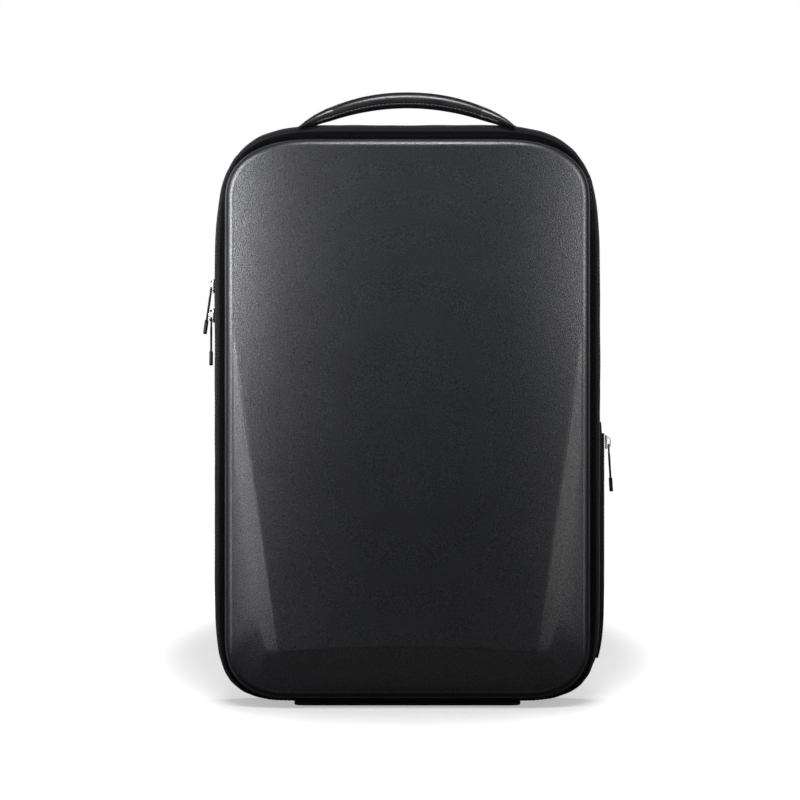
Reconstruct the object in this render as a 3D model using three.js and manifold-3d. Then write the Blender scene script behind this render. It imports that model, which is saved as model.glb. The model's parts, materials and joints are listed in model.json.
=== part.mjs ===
import * as THREE from 'three';
import { mergeVertices } from 'three/addons/utils/BufferGeometryUtils.js';
import Module from 'manifold-3d';

// Hard shell backpack standing on its base strip. +X is to the right as seen from the front, the
// moulded shell faces -Y, the wearer's side faces +Y and +Z is up. Sizes are in millimetres.

const wasm = await Module();
wasm.setup();

// Clearance between neighbouring pieces
const clearance = 0.3;

// Body as seen from the front, and the strip that it stands on
const bodyWidth = 302;
const bodyHeight = 449;
const baseStripWidth = 176;
const baseStripDepth = 60;
const baseStripThickness = 3.2;
const baseStripCorner = 9;

// Depths of the pieces from the shell's front to the wearer's side
const shellDepth = 44;
const frontZipDepth = 8;
const frontGussetDepth = 26;
const mainZipWidth = 14;
const rearGussetDepth = 33;
const backPanelThickness = 15;

// Moulded shell: its outline inside the body's, its wall and its edges
const shellSideInset = 11.4;
const shellTopInset = 15.8;
const shellBottomInset = 4;
const shellWall = 3;
const shellEdgeRadius = 5.5;
const shellDraft = 1.6;
const shellCrownAcross = 8;
const shellCrownPower = 3;
const shellCrownUp = 3.5;

// Raised panel on the shell: foot width and height of its lower crease, and where its side creases run out
const panelFootWidth = 198;
const panelFootHeight = 42.5;
const panelFootArch = 4.8;
const panelFootCorner = 9;
const creaseTopHeight = 308;
const sideFacetDegrees = 10;
const lowerFacetDegrees = 22;
const facetCurl = 0.0045;

// Trim round the openings
const pipingRadius = 1.3;
const zipTapeThickness = 1;
const coilWidth = 3.4;
const coilHeight = 0.8;
const gussetWall = 2.5;
const gussetFold = 11;

// Top handle
const handleSpan = 166;
const handleRise = 21.3;
const handleBend = 2.07;
const handleThickness = 12.4;
const handleDepth = 17;
const handleGap = 10.6;
const handleBack = 9;
const handleTipBack = 0.5;

// Side pocket on the wearer's left, shown at the right in the front view
const pocketFoot = 27;
const pocketHeight = 193;
const pocketWidth = 27;
const pocketThickness = 1.9;
const pocketZipWidth = 12;
const pocketZipMargin = 9;

// Zip sliders and pull tabs
const sliderLength = 11;
const sliderWidth = 8;
const sliderThickness = 1.5;
const archWidth = 2;
const archLength = 8.8;
const archBar = 0.9;
const archFoot = 1.4;
const pullLength = 37;
const pullWidth = 4.2;
const pullThickness = 1.6;
const pullGripLength = 11;
const pullGripThickness = 2.8;
const pullPin = 1.2;
const pinClearance = 0.4;
const eyeLength = 7.5;
const eyeArm = 0.8;
const upperSliderHeight = 326;
const sliderSpacing = 23;
const pocketSliderDrop = 7;
const upperPullLean = 7;
const upperPullSkew = -16;
const lowerPullSkew = -5;
const pocketPullLean = 3.5;

// Shoulder straps, their webbing, buckles and tabs
const strapSpread = 52;
const strapFootSpread = 92;
const strapTop = 428;
const strapFoot = 172;
const strapWidth = 62;
const strapThickness = 12;
const strapReach = 23;
const webbingWidth = 25;
const webbingThickness = 1.6;
const webbingTail = 75;
const buckleHeight = 30;
const buckleThickness = 4;
const buckleRim = 5;
const buckleBar = 4;
const tabHeight = 34;
const tabWidth = 38;
const tabThickness = 3;
const tabSpread = 104;
const tabFoot = 16;

// Corners of the two outlines: run as a share of the outline's half width, rise as a share of its height
const cornerShares = {
  body: {
    top: { run: 0.717, rise: 0.295, power: 3.6 },
    bottom: { run: 0.63, rise: 0.267, power: 4.9 },
  },
  shell: {
    top: { run: 0.485, rise: 0.109, power: 2.4 },
    bottom: { run: 0.36, rise: 0.107, power: 2.4 },
  },
};

// Heights and depths that follow from the sizes above
const bodyBottom = baseStripThickness + clearance;
const bodyTop = bodyBottom + bodyHeight;
const bodyDepth =
  shellDepth + frontZipDepth + frontGussetDepth + mainZipWidth + rearGussetDepth + backPanelThickness;
const shellFrontY = -bodyDepth / 2;
const rimY = shellFrontY + shellDepth;
const frontZipEndY = rimY + frontZipDepth;
const mainZipStartY = frontZipEndY + frontGussetDepth;
const mainZipEndY = mainZipStartY + mainZipWidth;
const rearGussetEndY = mainZipEndY + rearGussetDepth;
const backY = rearGussetEndY + backPanelThickness;
const mainZipY = (mainZipStartY + mainZipEndY) / 2;

// How far out the fabric stands between the shell's outline (0) and the body's (1)
const zipTapeInner = 0.02;
const seamShare = 0.5;
const frontGussetShare = 0.86;
const mainZipShare = 0.85;

const sectors = { bottomRun: 3, corner: 7, sideBelowCrease: 5, sideAboveCrease: 2, topRun: 3 };

const colours = {
  shell: 0x2c2d30,
  fabric: 0x1d1e20,
  tape: 0x141517,
  piping: 0x1a1b1d,
  leather: 0x18181a,
  chrome: 0xc9ccd0,
  pull: 0x1b1c1e,
  webbing: 0x191a1c,
  plastic: 0x121314,
};

function makeOutline(halfWidth, bottom, top, shares) {
  const height = top - bottom;
  const corner = ({ run, rise, power }) => ({ run: run * halfWidth, rise: rise * height, power });
  return { halfWidth, bottom, top, upper: corner(shares.top), lower: corner(shares.bottom) };
}

const bodyOutline = makeOutline(bodyWidth / 2, bodyBottom, bodyTop, cornerShares.body);
const shellOutline = makeOutline(
  bodyWidth / 2 - shellSideInset,
  bodyBottom + shellBottomInset,
  bodyTop - shellTopInset,
  cornerShares.shell,
);
const centreZ = (shellOutline.top + shellOutline.bottom) / 2;

/** The outline moved inwards by a distance; a negative distance grows it. */
function insetOutline(outline, distance) {
  const corner = ({ run, rise, power }) => ({ run: run - distance, rise: rise - distance, power });
  return {
    halfWidth: outline.halfWidth - distance,
    bottom: outline.bottom + distance,
    top: outline.top - distance,
    upper: corner(outline.upper),
    lower: corner(outline.lower),
  };
}

/** True where a point lies within the outline. */
function isInside(outline, x, z) {
  const upperHalf = z > (outline.top + outline.bottom) / 2;
  const { run, rise, power } = upperHalf ? outline.upper : outline.lower;
  const across = Math.abs(x) - (outline.halfWidth - run);
  const along = upperHalf ? z - (outline.top - rise) : outline.bottom + rise - z;
  if (across > run || along > rise) {
    return false;
  }
  return Math.max(across / run, 0) ** power + Math.max(along / rise, 0) ** power <= 1;
}

/** Half the outline's width at a height. */
function halfWidthAt(outline, z) {
  const upperHalf = z > (outline.top + outline.bottom) / 2;
  const { run, rise, power } = upperHalf ? outline.upper : outline.lower;
  const along = upperHalf ? z - (outline.top - rise) : outline.bottom + rise - z;
  const share = Math.min(Math.max(along / rise, 0), 1);
  return outline.halfWidth - run + run * (1 - share ** power) ** (1 / power);
}

/** The directions from the middle of the front that every ring shares, once round from the bottom. */
function makeDirections() {
  const { halfWidth, bottom, top, upper, lower } = shellOutline;
  const creaseTop = bottom + creaseTopHeight;
  const half = [];
  for (let i = 0; i < sectors.bottomRun; i += 1) {
    half.push([((halfWidth - lower.run) * i) / sectors.bottomRun, bottom]);
  }
  for (let i = 0; i < sectors.corner; i += 1) {
    const angle = (Math.PI / 2) * (i / sectors.corner);
    const across = Math.sin(angle) ** (2 / lower.power);
    const along = Math.cos(angle) ** (2 / lower.power);
    half.push([halfWidth - lower.run + lower.run * across, bottom + lower.rise * (1 - along)]);
  }
  const sideFoot = bottom + lower.rise;
  const sideHead = top - upper.rise;
  for (let i = 0; i < sectors.sideBelowCrease; i += 1) {
    half.push([halfWidth, sideFoot + ((creaseTop - sideFoot) * i) / sectors.sideBelowCrease]);
  }
  for (let i = 0; i < sectors.sideAboveCrease; i += 1) {
    half.push([halfWidth, creaseTop + ((sideHead - creaseTop) * i) / sectors.sideAboveCrease]);
  }
  for (let i = 0; i < sectors.corner; i += 1) {
    const angle = (Math.PI / 2) * (i / sectors.corner);
    const across = Math.cos(angle) ** (2 / upper.power);
    const along = Math.sin(angle) ** (2 / upper.power);
    half.push([halfWidth - upper.run + upper.run * across, top - upper.rise * (1 - along)]);
  }
  for (let i = 0; i <= sectors.topRun; i += 1) {
    half.push([((halfWidth - upper.run) * (sectors.topRun - i)) / sectors.topRun, top]);
  }
  const mirrored = half
    .slice(1, -1)
    .reverse()
    .map(([x, z]) => [-x, z]);
  return [...half, ...mirrored].map(([x, z]) => {
    const reach = Math.hypot(x, z - centreZ);
    return { x: x / reach, z: (z - centreZ) / reach };
  });
}

const directions = makeDirections();

/** How far a shape reaches from the middle of the front in each shared direction. */
function reaches(contains) {
  const farthest = bodyHeight + bodyWidth;
  return directions.map(({ x, z }) => {
    let low = 0;
    let high = farthest;
    for (let step = 0; step < 44; step += 1) {
      const middle = (low + high) / 2;
      if (contains(x * middle, centreZ + z * middle)) {
        low = middle;
      } else {
        high = middle;
      }
    }
    return low;
  });
}

function outlineReaches(outline) {
  return reaches((x, z) => isInside(outline, x, z));
}

/** A ring of points at the given reaches; y is a number or a function of x and z. */
function ringAt(reach, y) {
  return directions.map((direction, i) => {
    const x = direction.x * reach[i];
    const z = centreZ + direction.z * reach[i];
    return new THREE.Vector3(x, typeof y === 'function' ? y(x, z) : y, z);
  });
}

/** A ring between the shell's outline (share 0) and the body's (share 1), moved in by inset. */
function fabricRing(share, inset, y) {
  const inner = outlineReaches(insetOutline(shellOutline, inset));
  const outer = outlineReaches(insetOutline(bodyOutline, inset));
  return ringAt(
    inner.map((reach, i) => reach + (outer[i] - reach) * share),
    y,
  );
}

/** A closed solid with its faces pointing out. */
function makeSolid(points, triangles) {
  const edgeA = new THREE.Vector3();
  let volume = 0;
  for (const [a, b, c] of triangles) {
    volume += edgeA.crossVectors(points[a], points[b]).dot(points[c]);
  }
  const faces = volume < 0 ? triangles.map(([a, b, c]) => [a, c, b]) : triangles;
  const geometry = new THREE.BufferGeometry();
  geometry.setFromPoints(points);
  geometry.setIndex(faces.flat());
  geometry.computeVertexNormals();
  return geometry;
}

/**
 * Joins rings of equal length into one solid: a closed loop of rings, or a run with both ends capped.
 * Each four-sided patch is split along its shorter diagonal.
 */
function loft(rings, isLoop = false) {
  const count = rings[0].length;
  const points = rings.flat();
  const triangles = [];
  const lastRing = isLoop ? rings.length : rings.length - 1;
  for (let j = 0; j < lastRing; j += 1) {
    const next = (j + 1) % rings.length;
    for (let i = 0; i < count; i += 1) {
      const k = (i + 1) % count;
      const [a, b, c, d] = [j * count + i, j * count + k, next * count + k, next * count + i];
      if (points[a].distanceTo(points[c]) <= points[b].distanceTo(points[d])) {
        triangles.push([a, b, c], [a, c, d]);
      } else {
        triangles.push([a, b, d], [b, c, d]);
      }
    }
  }
  if (!isLoop) {
    for (const [j, turn] of [
      [0, 1],
      [rings.length - 1, -1],
    ]) {
      const middle = rings[j].reduce((sum, p) => sum.add(p), new THREE.Vector3()).divideScalar(count);
      const centre = points.push(middle) - 1;
      for (let i = 0; i < count; i += 1) {
        const pair = [j * count + i, j * count + ((i + 1) % count)];
        triangles.push(turn > 0 ? [pair[1], pair[0], centre] : [pair[0], pair[1], centre]);
      }
    }
  }
  return makeSolid(points, triangles);
}

/** A closed flat section: width along one direction, thickness along the other, with softened corners. */
function flatSection(centre, along, out, width, thickness, sides, boxiness) {
  const ring = [];
  for (let i = 0; i < sides; i += 1) {
    const angle = (2 * Math.PI * (i + 0.5)) / sides;
    const across = Math.sign(Math.cos(angle)) * Math.abs(Math.cos(angle)) ** boxiness;
    const up = Math.sign(Math.sin(angle)) * Math.abs(Math.sin(angle)) ** boxiness;
    ring.push(
      centre
        .clone()
        .addScaledVector(along, (across * width) / 2)
        .addScaledVector(out, (up * thickness) / 2),
    );
  }
  return ring;
}

function toManifold(geometry) {
  const bare = geometry.clone();
  bare.deleteAttribute('normal');
  bare.deleteAttribute('uv');
  const merged = mergeVertices(bare, 1e-4);
  return new wasm.Manifold(
    new wasm.Mesh({
      numProp: 3,
      vertProperties: new Float32Array(merged.attributes.position.array),
      triVerts: new Uint32Array(merged.index.array),
    }),
  );
}

function toGeometry(manifold) {
  const mesh = manifold.getMesh();
  const geometry = new THREE.BufferGeometry();
  geometry.setAttribute('position', new THREE.BufferAttribute(new Float32Array(mesh.vertProperties), 3));
  geometry.setIndex(new THREE.BufferAttribute(new Uint32Array(mesh.triVerts), 1));
  geometry.computeVertexNormals();
  return geometry;
}

/** One solid fused from several overlapping ones. */
function fuse(geometries) {
  return toGeometry(geometries.map(toManifold).reduce((whole, piece) => whole.add(piece)));
}

function cutAway(geometry, cutter) {
  return toGeometry(toManifold(geometry).subtract(toManifold(cutter)));
}

/** A shape extruded to a depth, centred on the plane that it is drawn in. */
function plate(shape, depth) {
  const geometry = new THREE.ExtrudeGeometry(shape, { depth, bevelEnabled: false, curveSegments: 3 });
  return geometry.translate(0, 0, -depth / 2);
}

function roundedRectangle(width, height, radius) {
  const x = width / 2;
  const y = height / 2;
  const shape = new THREE.Shape();
  shape.moveTo(-x + radius, -y);
  shape.lineTo(x - radius, -y);
  shape.absarc(x - radius, -y + radius, radius, -Math.PI / 2, 0, false);
  shape.lineTo(x, y - radius);
  shape.absarc(x - radius, y - radius, radius, 0, Math.PI / 2, false);
  shape.lineTo(-x + radius, y);
  shape.absarc(-x + radius, y - radius, radius, Math.PI / 2, Math.PI, false);
  shape.lineTo(-x, -y + radius);
  shape.absarc(-x + radius, -y + radius, radius, Math.PI, 1.5 * Math.PI, false);
  return shape;
}

function material(colour, roughness, metalness = 0) {
  return new THREE.MeshStandardMaterial({ color: colour, roughness, metalness });
}

const group = new THREE.Group();

function addPiece(name, geometry, finish, parent = group) {
  const mesh = new THREE.Mesh(geometry, finish);
  mesh.name = name;
  parent.add(mesh);
  return mesh;
}

// Moulded front shell

/** How far a point lies outside the raised panel, and how steeply the shell falls away there. */
function facetFall(x, z) {
  const foot = shellOutline.bottom + panelFootHeight;
  const head = shellOutline.bottom + creaseTopHeight;
  const headHalf = shellOutline.halfWidth - shellEdgeRadius / 2;
  const creaseHalf = panelFootWidth / 2 + ((headHalf - panelFootWidth / 2) * (z - foot)) / (head - foot);
  const creaseFoot = foot - panelFootArch * (x / (panelFootWidth / 2)) ** 2;
  const fromSide = Math.max(panelFootCorner - (creaseHalf - Math.abs(x)), 0);
  const fromFoot = Math.max(panelFootCorner - (z - creaseFoot), 0);
  const reach = Math.hypot(fromSide, fromFoot);
  const beyond = reach - panelFootCorner;
  const sideSlope = Math.tan(THREE.MathUtils.degToRad(sideFacetDegrees));
  const lowerSlope = Math.tan(THREE.MathUtils.degToRad(lowerFacetDegrees));
  const slope = reach > 0 ? Math.hypot(fromSide * sideSlope, fromFoot * lowerSlope) / reach : 0;
  const curl = reach > 0 ? (facetCurl * fromFoot) / reach : 0;
  return { beyond, fall: beyond > 0 ? beyond * slope + curl * beyond ** 2 : 0 };
}

/** Depth of the shell's front at a point, crowned across and up. */
function shellFaceY(x, z) {
  const across = shellCrownAcross * Math.abs(x / shellOutline.halfWidth) ** shellCrownPower;
  const up = shellCrownUp * ((z - centreZ) / (shellOutline.top - centreZ)) ** 2;
  return shellFrontY + across + up + facetFall(x, z).fall;
}

function makeShell() {
  const stripMinimum = 3;
  const edge = outlineReaches(insetOutline(shellOutline, shellDraft + shellEdgeRadius));
  const crease = reaches((x, z) => facetFall(x, z).beyond < 0);
  const panel = edge.map((reach, i) => Math.min(reach - stripMinimum, crease[i]));
  const between = (share) => panel.map((reach, i) => reach + (edge[i] - reach) * share);
  const rings = [0.34, 0.7, 1].map((share) => ringAt(panel.map((reach) => reach * share), shellFaceY));
  rings.push(...[0.33, 0.67, 1].map((share) => ringAt(between(share), shellFaceY)));
  const edgeY = rings.at(-1).map((point) => point.y);
  for (const degrees of [30, 60, 90]) {
    const angle = THREE.MathUtils.degToRad(degrees);
    const inset = shellDraft + shellEdgeRadius * (1 - Math.sin(angle));
    const ring = ringAt(outlineReaches(insetOutline(shellOutline, inset)), 0);
    ring.forEach((point, i) => {
      point.y = edgeY[i] + shellEdgeRadius * (1 - Math.cos(angle));
    });
    rings.push(ring);
  }
  rings.push(ringAt(outlineReaches(shellOutline), rimY));
  rings.push(ringAt(outlineReaches(insetOutline(shellOutline, shellWall)), rimY));
  const innerEdge = outlineReaches(insetOutline(shellOutline, shellDraft + shellEdgeRadius));
  const insideY = (x, z) => shellFaceY(x, z) + shellWall;
  const shoulder = ringAt(outlineReaches(insetOutline(shellOutline, shellDraft + shellWall)), 0);
  shoulder.forEach((point, i) => {
    point.y = edgeY[i] + shellEdgeRadius + shellWall / 2;
  });
  rings.push(shoulder, ringAt(innerEdge, insideY));
  rings.push(...[1, 0.5].map((share) => ringAt(panel.map((reach) => reach * share), insideY)));
  return loft(rings);
}

addPiece('front_shell', makeShell(), material(colours.shell, 0.5));

/** A round bead that runs once round a fabric ring. */
function bead(share, y, radius, sides) {
  const rings = [];
  for (let i = 0; i < sides; i += 1) {
    const angle = (2 * Math.PI * i) / sides;
    rings.push(fabricRing(share, -radius * Math.cos(angle), y + radius * Math.sin(angle)));
  }
  return loft(rings, true);
}

const pipingY = rimY + clearance + pipingRadius;
addPiece('shell_piping', bead(0, pipingY, pipingRadius, 6), material(colours.piping, 0.4));

// Front zip between the shell's piping and the gusset
const frontTapeStartY = pipingY + pipingRadius + clearance;
const frontTapeEndY = frontZipEndY - clearance;

function frontTapeAt(share) {
  return {
    share: zipTapeInner + (seamShare - zipTapeInner) * share,
    y: frontTapeStartY + (frontTapeEndY - frontTapeStartY) * share,
  };
}

/** A strip of the front zip through a row of places across it, lift proud of the tape's face. */
function frontStrip(shares, lift, thickness) {
  const rings = (rise) =>
    shares.map(frontTapeAt).map(({ share, y }) => fabricRing(share, -rise, y));
  return loft([...rings(lift + thickness), ...rings(lift).reverse()], true);
}

const coilShare = coilWidth / (2 * (frontTapeEndY - frontTapeStartY + shellSideInset * seamShare));
const coilEdges = [0.5 - coilShare, 0.5 + coilShare];
const tapeFinish = material(colours.tape, 0.85);
const coilFinish = material(colours.plastic, 0.5);
addPiece('front_zip_tape', frontStrip([0, ...coilEdges, 1], -zipTapeThickness, zipTapeThickness), tapeFinish);
addPiece('front_zip_coil', frontStrip(coilEdges, clearance, coilHeight), coilFinish);

// Gusset in front of the main zip: it turns in towards the front zip
const gussetProfile = [
  { share: 0, depth: 0 },
  { share: 0.55, depth: 0.2 },
  { share: 0.88, depth: 0.58 },
  { share: 1, depth: 1 },
];

function frontGussetRings(inset) {
  const rings = gussetProfile.map(({ share, depth }) =>
    fabricRing(
      seamShare + (frontGussetShare - seamShare) * share,
      inset,
      frontZipEndY + gussetFold * depth,
    ),
  );
  rings.push(fabricRing(frontGussetShare, inset, mainZipStartY - clearance));
  return rings;
}

const fabricFinish = material(colours.fabric, 0.9);
addPiece(
  'gusset_front',
  loft([...frontGussetRings(0), ...frontGussetRings(gussetWall).reverse()], true),
  fabricFinish,
);

// Main zip between the two gussets: it runs up both sides and over the top, and a band of fabric
// closes the bottom between its ends

const zipEndSector = sectors.bottomRun + sectors.corner;
const sectorCount = directions.length;

/** Part of a strip between two of the shared directions, drawn in by a gap at each end. */
function arcStrip(share, startY, endY, lift, thickness, fromSector, toSector, gap) {
  const corners = [
    fabricRing(share, -lift - thickness, startY),
    fabricRing(share, -lift - thickness, endY),
    fabricRing(share, -lift, endY),
    fabricRing(share, -lift, startY),
  ];
  const sections = [];
  for (let i = fromSector; i <= toSector; i += 1) {
    sections.push(corners.map((ring) => ring[(i + sectorCount) % sectorCount].clone()));
  }
  const draw = (end, next) =>
    end.forEach((point, i) => point.lerp(next[i], gap / point.distanceTo(next[i])));
  draw(sections[0], sections[1]);
  draw(sections.at(-1), sections.at(-2));
  return loft(sections);
}

const zipEnds = [zipEndSector, sectorCount - zipEndSector];
addPiece(
  'main_zip_tape',
  arcStrip(mainZipShare, mainZipStartY, mainZipEndY, -zipTapeThickness, zipTapeThickness, ...zipEnds, 0),
  tapeFinish,
);
addPiece(
  'main_zip_coil',
  arcStrip(
    mainZipShare,
    mainZipY - coilWidth / 2,
    mainZipY + coilWidth / 2,
    clearance,
    coilHeight,
    ...zipEnds,
    coilWidth,
  ),
  coilFinish,
);
addPiece(
  'gusset_bottom',
  arcStrip(
    mainZipShare,
    mainZipStartY,
    mainZipEndY,
    -gussetWall,
    gussetWall,
    -zipEndSector,
    zipEndSector,
    clearance,
  ),
  fabricFinish,
);

// Gusset behind the main zip, the body's widest ring
const rearGussetRings = (inset) => [
  fabricRing(mainZipShare, inset, mainZipEndY + clearance),
  fabricRing(1, inset, mainZipEndY + clearance + gussetWall),
  fabricRing(1, inset, rearGussetEndY),
];
addPiece(
  'gusset_rear',
  loft([...rearGussetRings(0), ...rearGussetRings(gussetWall).reverse()], true),
  fabricFinish,
);

// Padded back panel: inset from the body's outline as a multiple of its thickness, depth as a share of it
const backProfile = [
  { inset: 0.12, depth: 0 },
  { inset: 0, depth: 0.25 },
  { inset: 0.06, depth: 0.5 },
  { inset: 0.3, depth: 0.82 },
  { inset: 0.8, depth: 0.97 },
  { inset: 2.4, depth: 1 },
];
const backRings = backProfile.map(({ inset, depth }) =>
  fabricRing(
    1,
    inset * backPanelThickness,
    rearGussetEndY + clearance + (backPanelThickness - clearance) * depth,
  ),
);
addPiece('back_panel', loft(backRings), material(colours.fabric, 0.95));

// Base strip under the gussets
const baseStripY = (frontZipEndY + gussetFold + rearGussetEndY) / 2;
const baseStrip = addPiece(
  'base_strip',
  plate(roundedRectangle(baseStripWidth, baseStripDepth, baseStripCorner), baseStripThickness),
  material(colours.leather, 0.6),
);
baseStrip.position.set(0, baseStripY, baseStripThickness / 2);

// Top handle: an arc whose flattened ends come forward over the gusset's fold

/** Everything that the handle's ends lie on, grown by the clearance. */
function handleSeat() {
  const start = frontTapeAt(0);
  return loft([
    fabricRing(start.share, -clearance, start.y),
    ...frontGussetRings(-clearance),
    fabricRing(1, -clearance, mainZipEndY),
  ]);
}

// Handle sections: place as a share of half the span, thickness and depth as shares of the full section
const handleSections = [
  { place: 0, thickness: 1, depth: 1 },
  { place: 0.2, thickness: 1, depth: 1 },
  { place: 0.4, thickness: 0.97, depth: 1 },
  { place: 0.58, thickness: 0.9, depth: 0.98 },
  { place: 0.74, thickness: 0.82, depth: 0.9 },
  { place: 0.86, thickness: 0.66, depth: 0.75 },
  { place: 0.94, thickness: 0.45, depth: 0.55 },
  { place: 1, thickness: 0.2, depth: 0.35 },
];

function handleCentre(place) {
  const forward = Math.max(Math.abs(place) - 0.7, 0) / 0.3;
  const top = bodyTop + handleGap + handleThickness / 2;
  return new THREE.Vector3(
    (place * handleSpan) / 2,
    frontZipEndY + handleBack + (handleTipBack - handleBack) * forward,
    top - handleRise * Math.abs(place) ** handleBend,
  );
}

function makeHandle() {
  const step = 1e-3;
  const sides = 10;
  const places = [
    ...handleSections.slice(1).reverse().map((row) => ({ ...row, place: -row.place })),
    ...handleSections,
  ];
  const rings = places.map(({ place, thickness, depth }) => {
    const centre = handleCentre(place);
    const along = handleCentre(place + step).sub(handleCentre(place - step)).normalize();
    const out = new THREE.Vector3(0, 1, 0).cross(along).normalize();
    const across = along.clone().cross(out).normalize();
    return flatSection(centre, across, out, depth * handleDepth, thickness * handleThickness, sides, 0.85);
  });
  return cutAway(loft(rings), handleSeat());
}

addPiece('handle', makeHandle(), material(colours.leather, 0.35));

// Side pocket: a padded facing on the rear gusset with its own zip
const pocketY = (mainZipEndY + clearance + gussetWall + rearGussetEndY) / 2;

/** A strip that follows the body's right side between two heights and lies lift proud of it. */
function sideStrip(foot, height, width, lift, thickness, steps, sides, boxiness, endShare) {
  const rings = [];
  for (let i = 0; i <= steps; i += 1) {
    const share = i / steps;
    const z = foot + height * share;
    const isEnd = i === 0 || i === steps;
    const swell = isEnd ? endShare : 1;
    const lean = (halfWidthAt(bodyOutline, z + 1) - halfWidthAt(bodyOutline, z - 1)) / 2;
    const across = new THREE.Vector3(0, 1, 0);
    const out = new THREE.Vector3(1, 0, -lean).normalize();
    const centre = new THREE.Vector3(halfWidthAt(bodyOutline, z), pocketY, z);
    centre.addScaledVector(out, lift + (thickness * swell) / 2);
    rings.push(flatSection(centre, across, out, width * swell, thickness * swell, sides, boxiness));
  }
  return loft(rings);
}

const pocketZipLift = clearance * 2 + pocketThickness;
const pocketZipFoot = pocketFoot + pocketZipMargin;
const pocketZipHeight = pocketHeight - 2 * pocketZipMargin;
addPiece(
  'side_pocket',
  sideStrip(pocketFoot, pocketHeight, pocketWidth, clearance, pocketThickness, 20, 12, 0.5, 0.7),
  fabricFinish,
);
addPiece(
  'pocket_zip_tape',
  sideStrip(pocketZipFoot, pocketZipHeight, pocketZipWidth, pocketZipLift, zipTapeThickness, 20, 8, 0.4, 1),
  tapeFinish,
);
const pocketCoilLift = pocketZipLift + zipTapeThickness + clearance;
addPiece(
  'pocket_zip_coil',
  sideStrip(pocketZipFoot, pocketZipHeight, coilWidth, pocketCoilLift, coilHeight, 20, 8, 0.4, 1),
  coilFinish,
);

// Sliders: a wedge-shaped body with an arch over it, drawn with +X out of the zip

function makeSlider() {
  const half = sliderWidth / 2;
  const end = sliderLength / 2;
  const body = new THREE.Shape();
  body.moveTo(-half * 0.6, -end);
  body.lineTo(half * 0.6, -end);
  body.lineTo(half * 0.75, -end * 0.2);
  body.lineTo(half, end * 0.35);
  body.lineTo(half * 0.85, end);
  body.lineTo(-half * 0.85, end);
  body.lineTo(-half, end * 0.35);
  body.lineTo(-half * 0.75, -end * 0.2);
  body.closePath();
  const bodySolid = plate(body, sliderThickness)
    .rotateX(Math.PI / 2)
    .rotateZ(Math.PI / 2)
    .translate(sliderThickness / 2, 0, 0);
  const sunk = sliderThickness * 0.5;
  const roof = sliderThickness + 2 * pinClearance + pullPin;
  const reach = archLength / 2;
  const window = reach - archFoot;
  const arch = new THREE.Shape();
  arch.moveTo(sunk, -reach);
  arch.lineTo(roof, -reach);
  arch.lineTo(roof + archBar, -window);
  arch.lineTo(roof + archBar, window);
  arch.lineTo(roof, reach);
  arch.lineTo(sunk, reach);
  arch.lineTo(sunk, window);
  arch.lineTo(roof, window);
  arch.lineTo(roof, -window);
  arch.lineTo(sunk, -window);
  arch.closePath();
  const archSolid = plate(arch, archWidth).rotateX(Math.PI / 2);
  return fuse([bodySolid, archSolid]);
}

// Pull tabs: an eye, a shank and a thicker grip, hanging from the pin through the slider's arch

function makePull() {
  const eyeWidth = pullWidth + pullPin;
  const pin = pullPin / 2;
  const eye = new THREE.Shape();
  eye.moveTo(-eyeWidth / 2, -eyeLength);
  eye.lineTo(eyeWidth / 2, -eyeLength);
  eye.lineTo(eyeWidth / 2, pin);
  eye.lineTo(-eyeWidth / 2, pin);
  eye.closePath();
  const hole = new THREE.Path();
  const holeHalf = eyeWidth / 2 - eyeArm;
  hole.moveTo(-holeHalf, -pin);
  hole.lineTo(holeHalf, -pin);
  hole.lineTo(holeHalf, -eyeLength + pullPin);
  hole.lineTo(-holeHalf, -eyeLength + pullPin);
  hole.closePath();
  eye.holes.push(hole);
  const shank = new THREE.Shape();
  shank.moveTo(-pullWidth / 2, -eyeLength + pin);
  shank.lineTo(-pullWidth * 0.38, -pullLength + pullGripLength);
  shank.lineTo(-pullWidth * 0.38, -pullLength + pullGripLength / 2);
  shank.lineTo(pullWidth * 0.38, -pullLength + pullGripLength / 2);
  shank.lineTo(pullWidth * 0.38, -pullLength + pullGripLength);
  shank.lineTo(pullWidth / 2, -eyeLength + pin);
  shank.closePath();
  const grip = roundedRectangle(pullWidth * 1.1, pullGripLength, pullWidth * 0.3);
  const upright = (shape, thickness) =>
    plate(shape, thickness)
      .rotateX(Math.PI / 2)
      .rotateZ(Math.PI / 2);
  return fuse([
    upright(eye, pullPin),
    upright(shank, pullThickness),
    upright(grip, pullGripThickness).translate(0, 0, -pullLength + pullGripLength / 2),
  ]);
}

const sliderFinish = material(colours.chrome, 0.18, 1);
const pullFinish = material(colours.pull, 0.35, 0.3);
const pinOut = sliderThickness + pinClearance + pullPin / 2;
const pinDrop = archLength / 2 - archFoot - pullPin / 2 - pinClearance;

/**
 * A slider and its pull on one zip. The side is -1 on the left and 1 on the right, surfaceX is the face
 * that the slider rides on, lean swings the pull out from the body and skew tilts it within its plane.
 */
function addSliderAndPull(names, side, surfaceX, y, z, leanDegrees, skewDegrees) {
  const zip = new THREE.Group();
  zip.position.set(side * surfaceX, y, z);
  group.add(zip);
  const slider = addPiece(names.slider, makeSlider(), sliderFinish, zip);
  slider.rotation.z = side < 0 ? Math.PI : 0;
  const hinge = new THREE.Group();
  hinge.position.set(side * pinOut, 0, -pinDrop);
  hinge.rotation.x = THREE.MathUtils.degToRad(skewDegrees);
  zip.add(hinge);
  const pull = addPiece(names.pull, makePull(), pullFinish, hinge);
  pull.rotation.y = -side * THREE.MathUtils.degToRad(leanDegrees);
}

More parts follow.
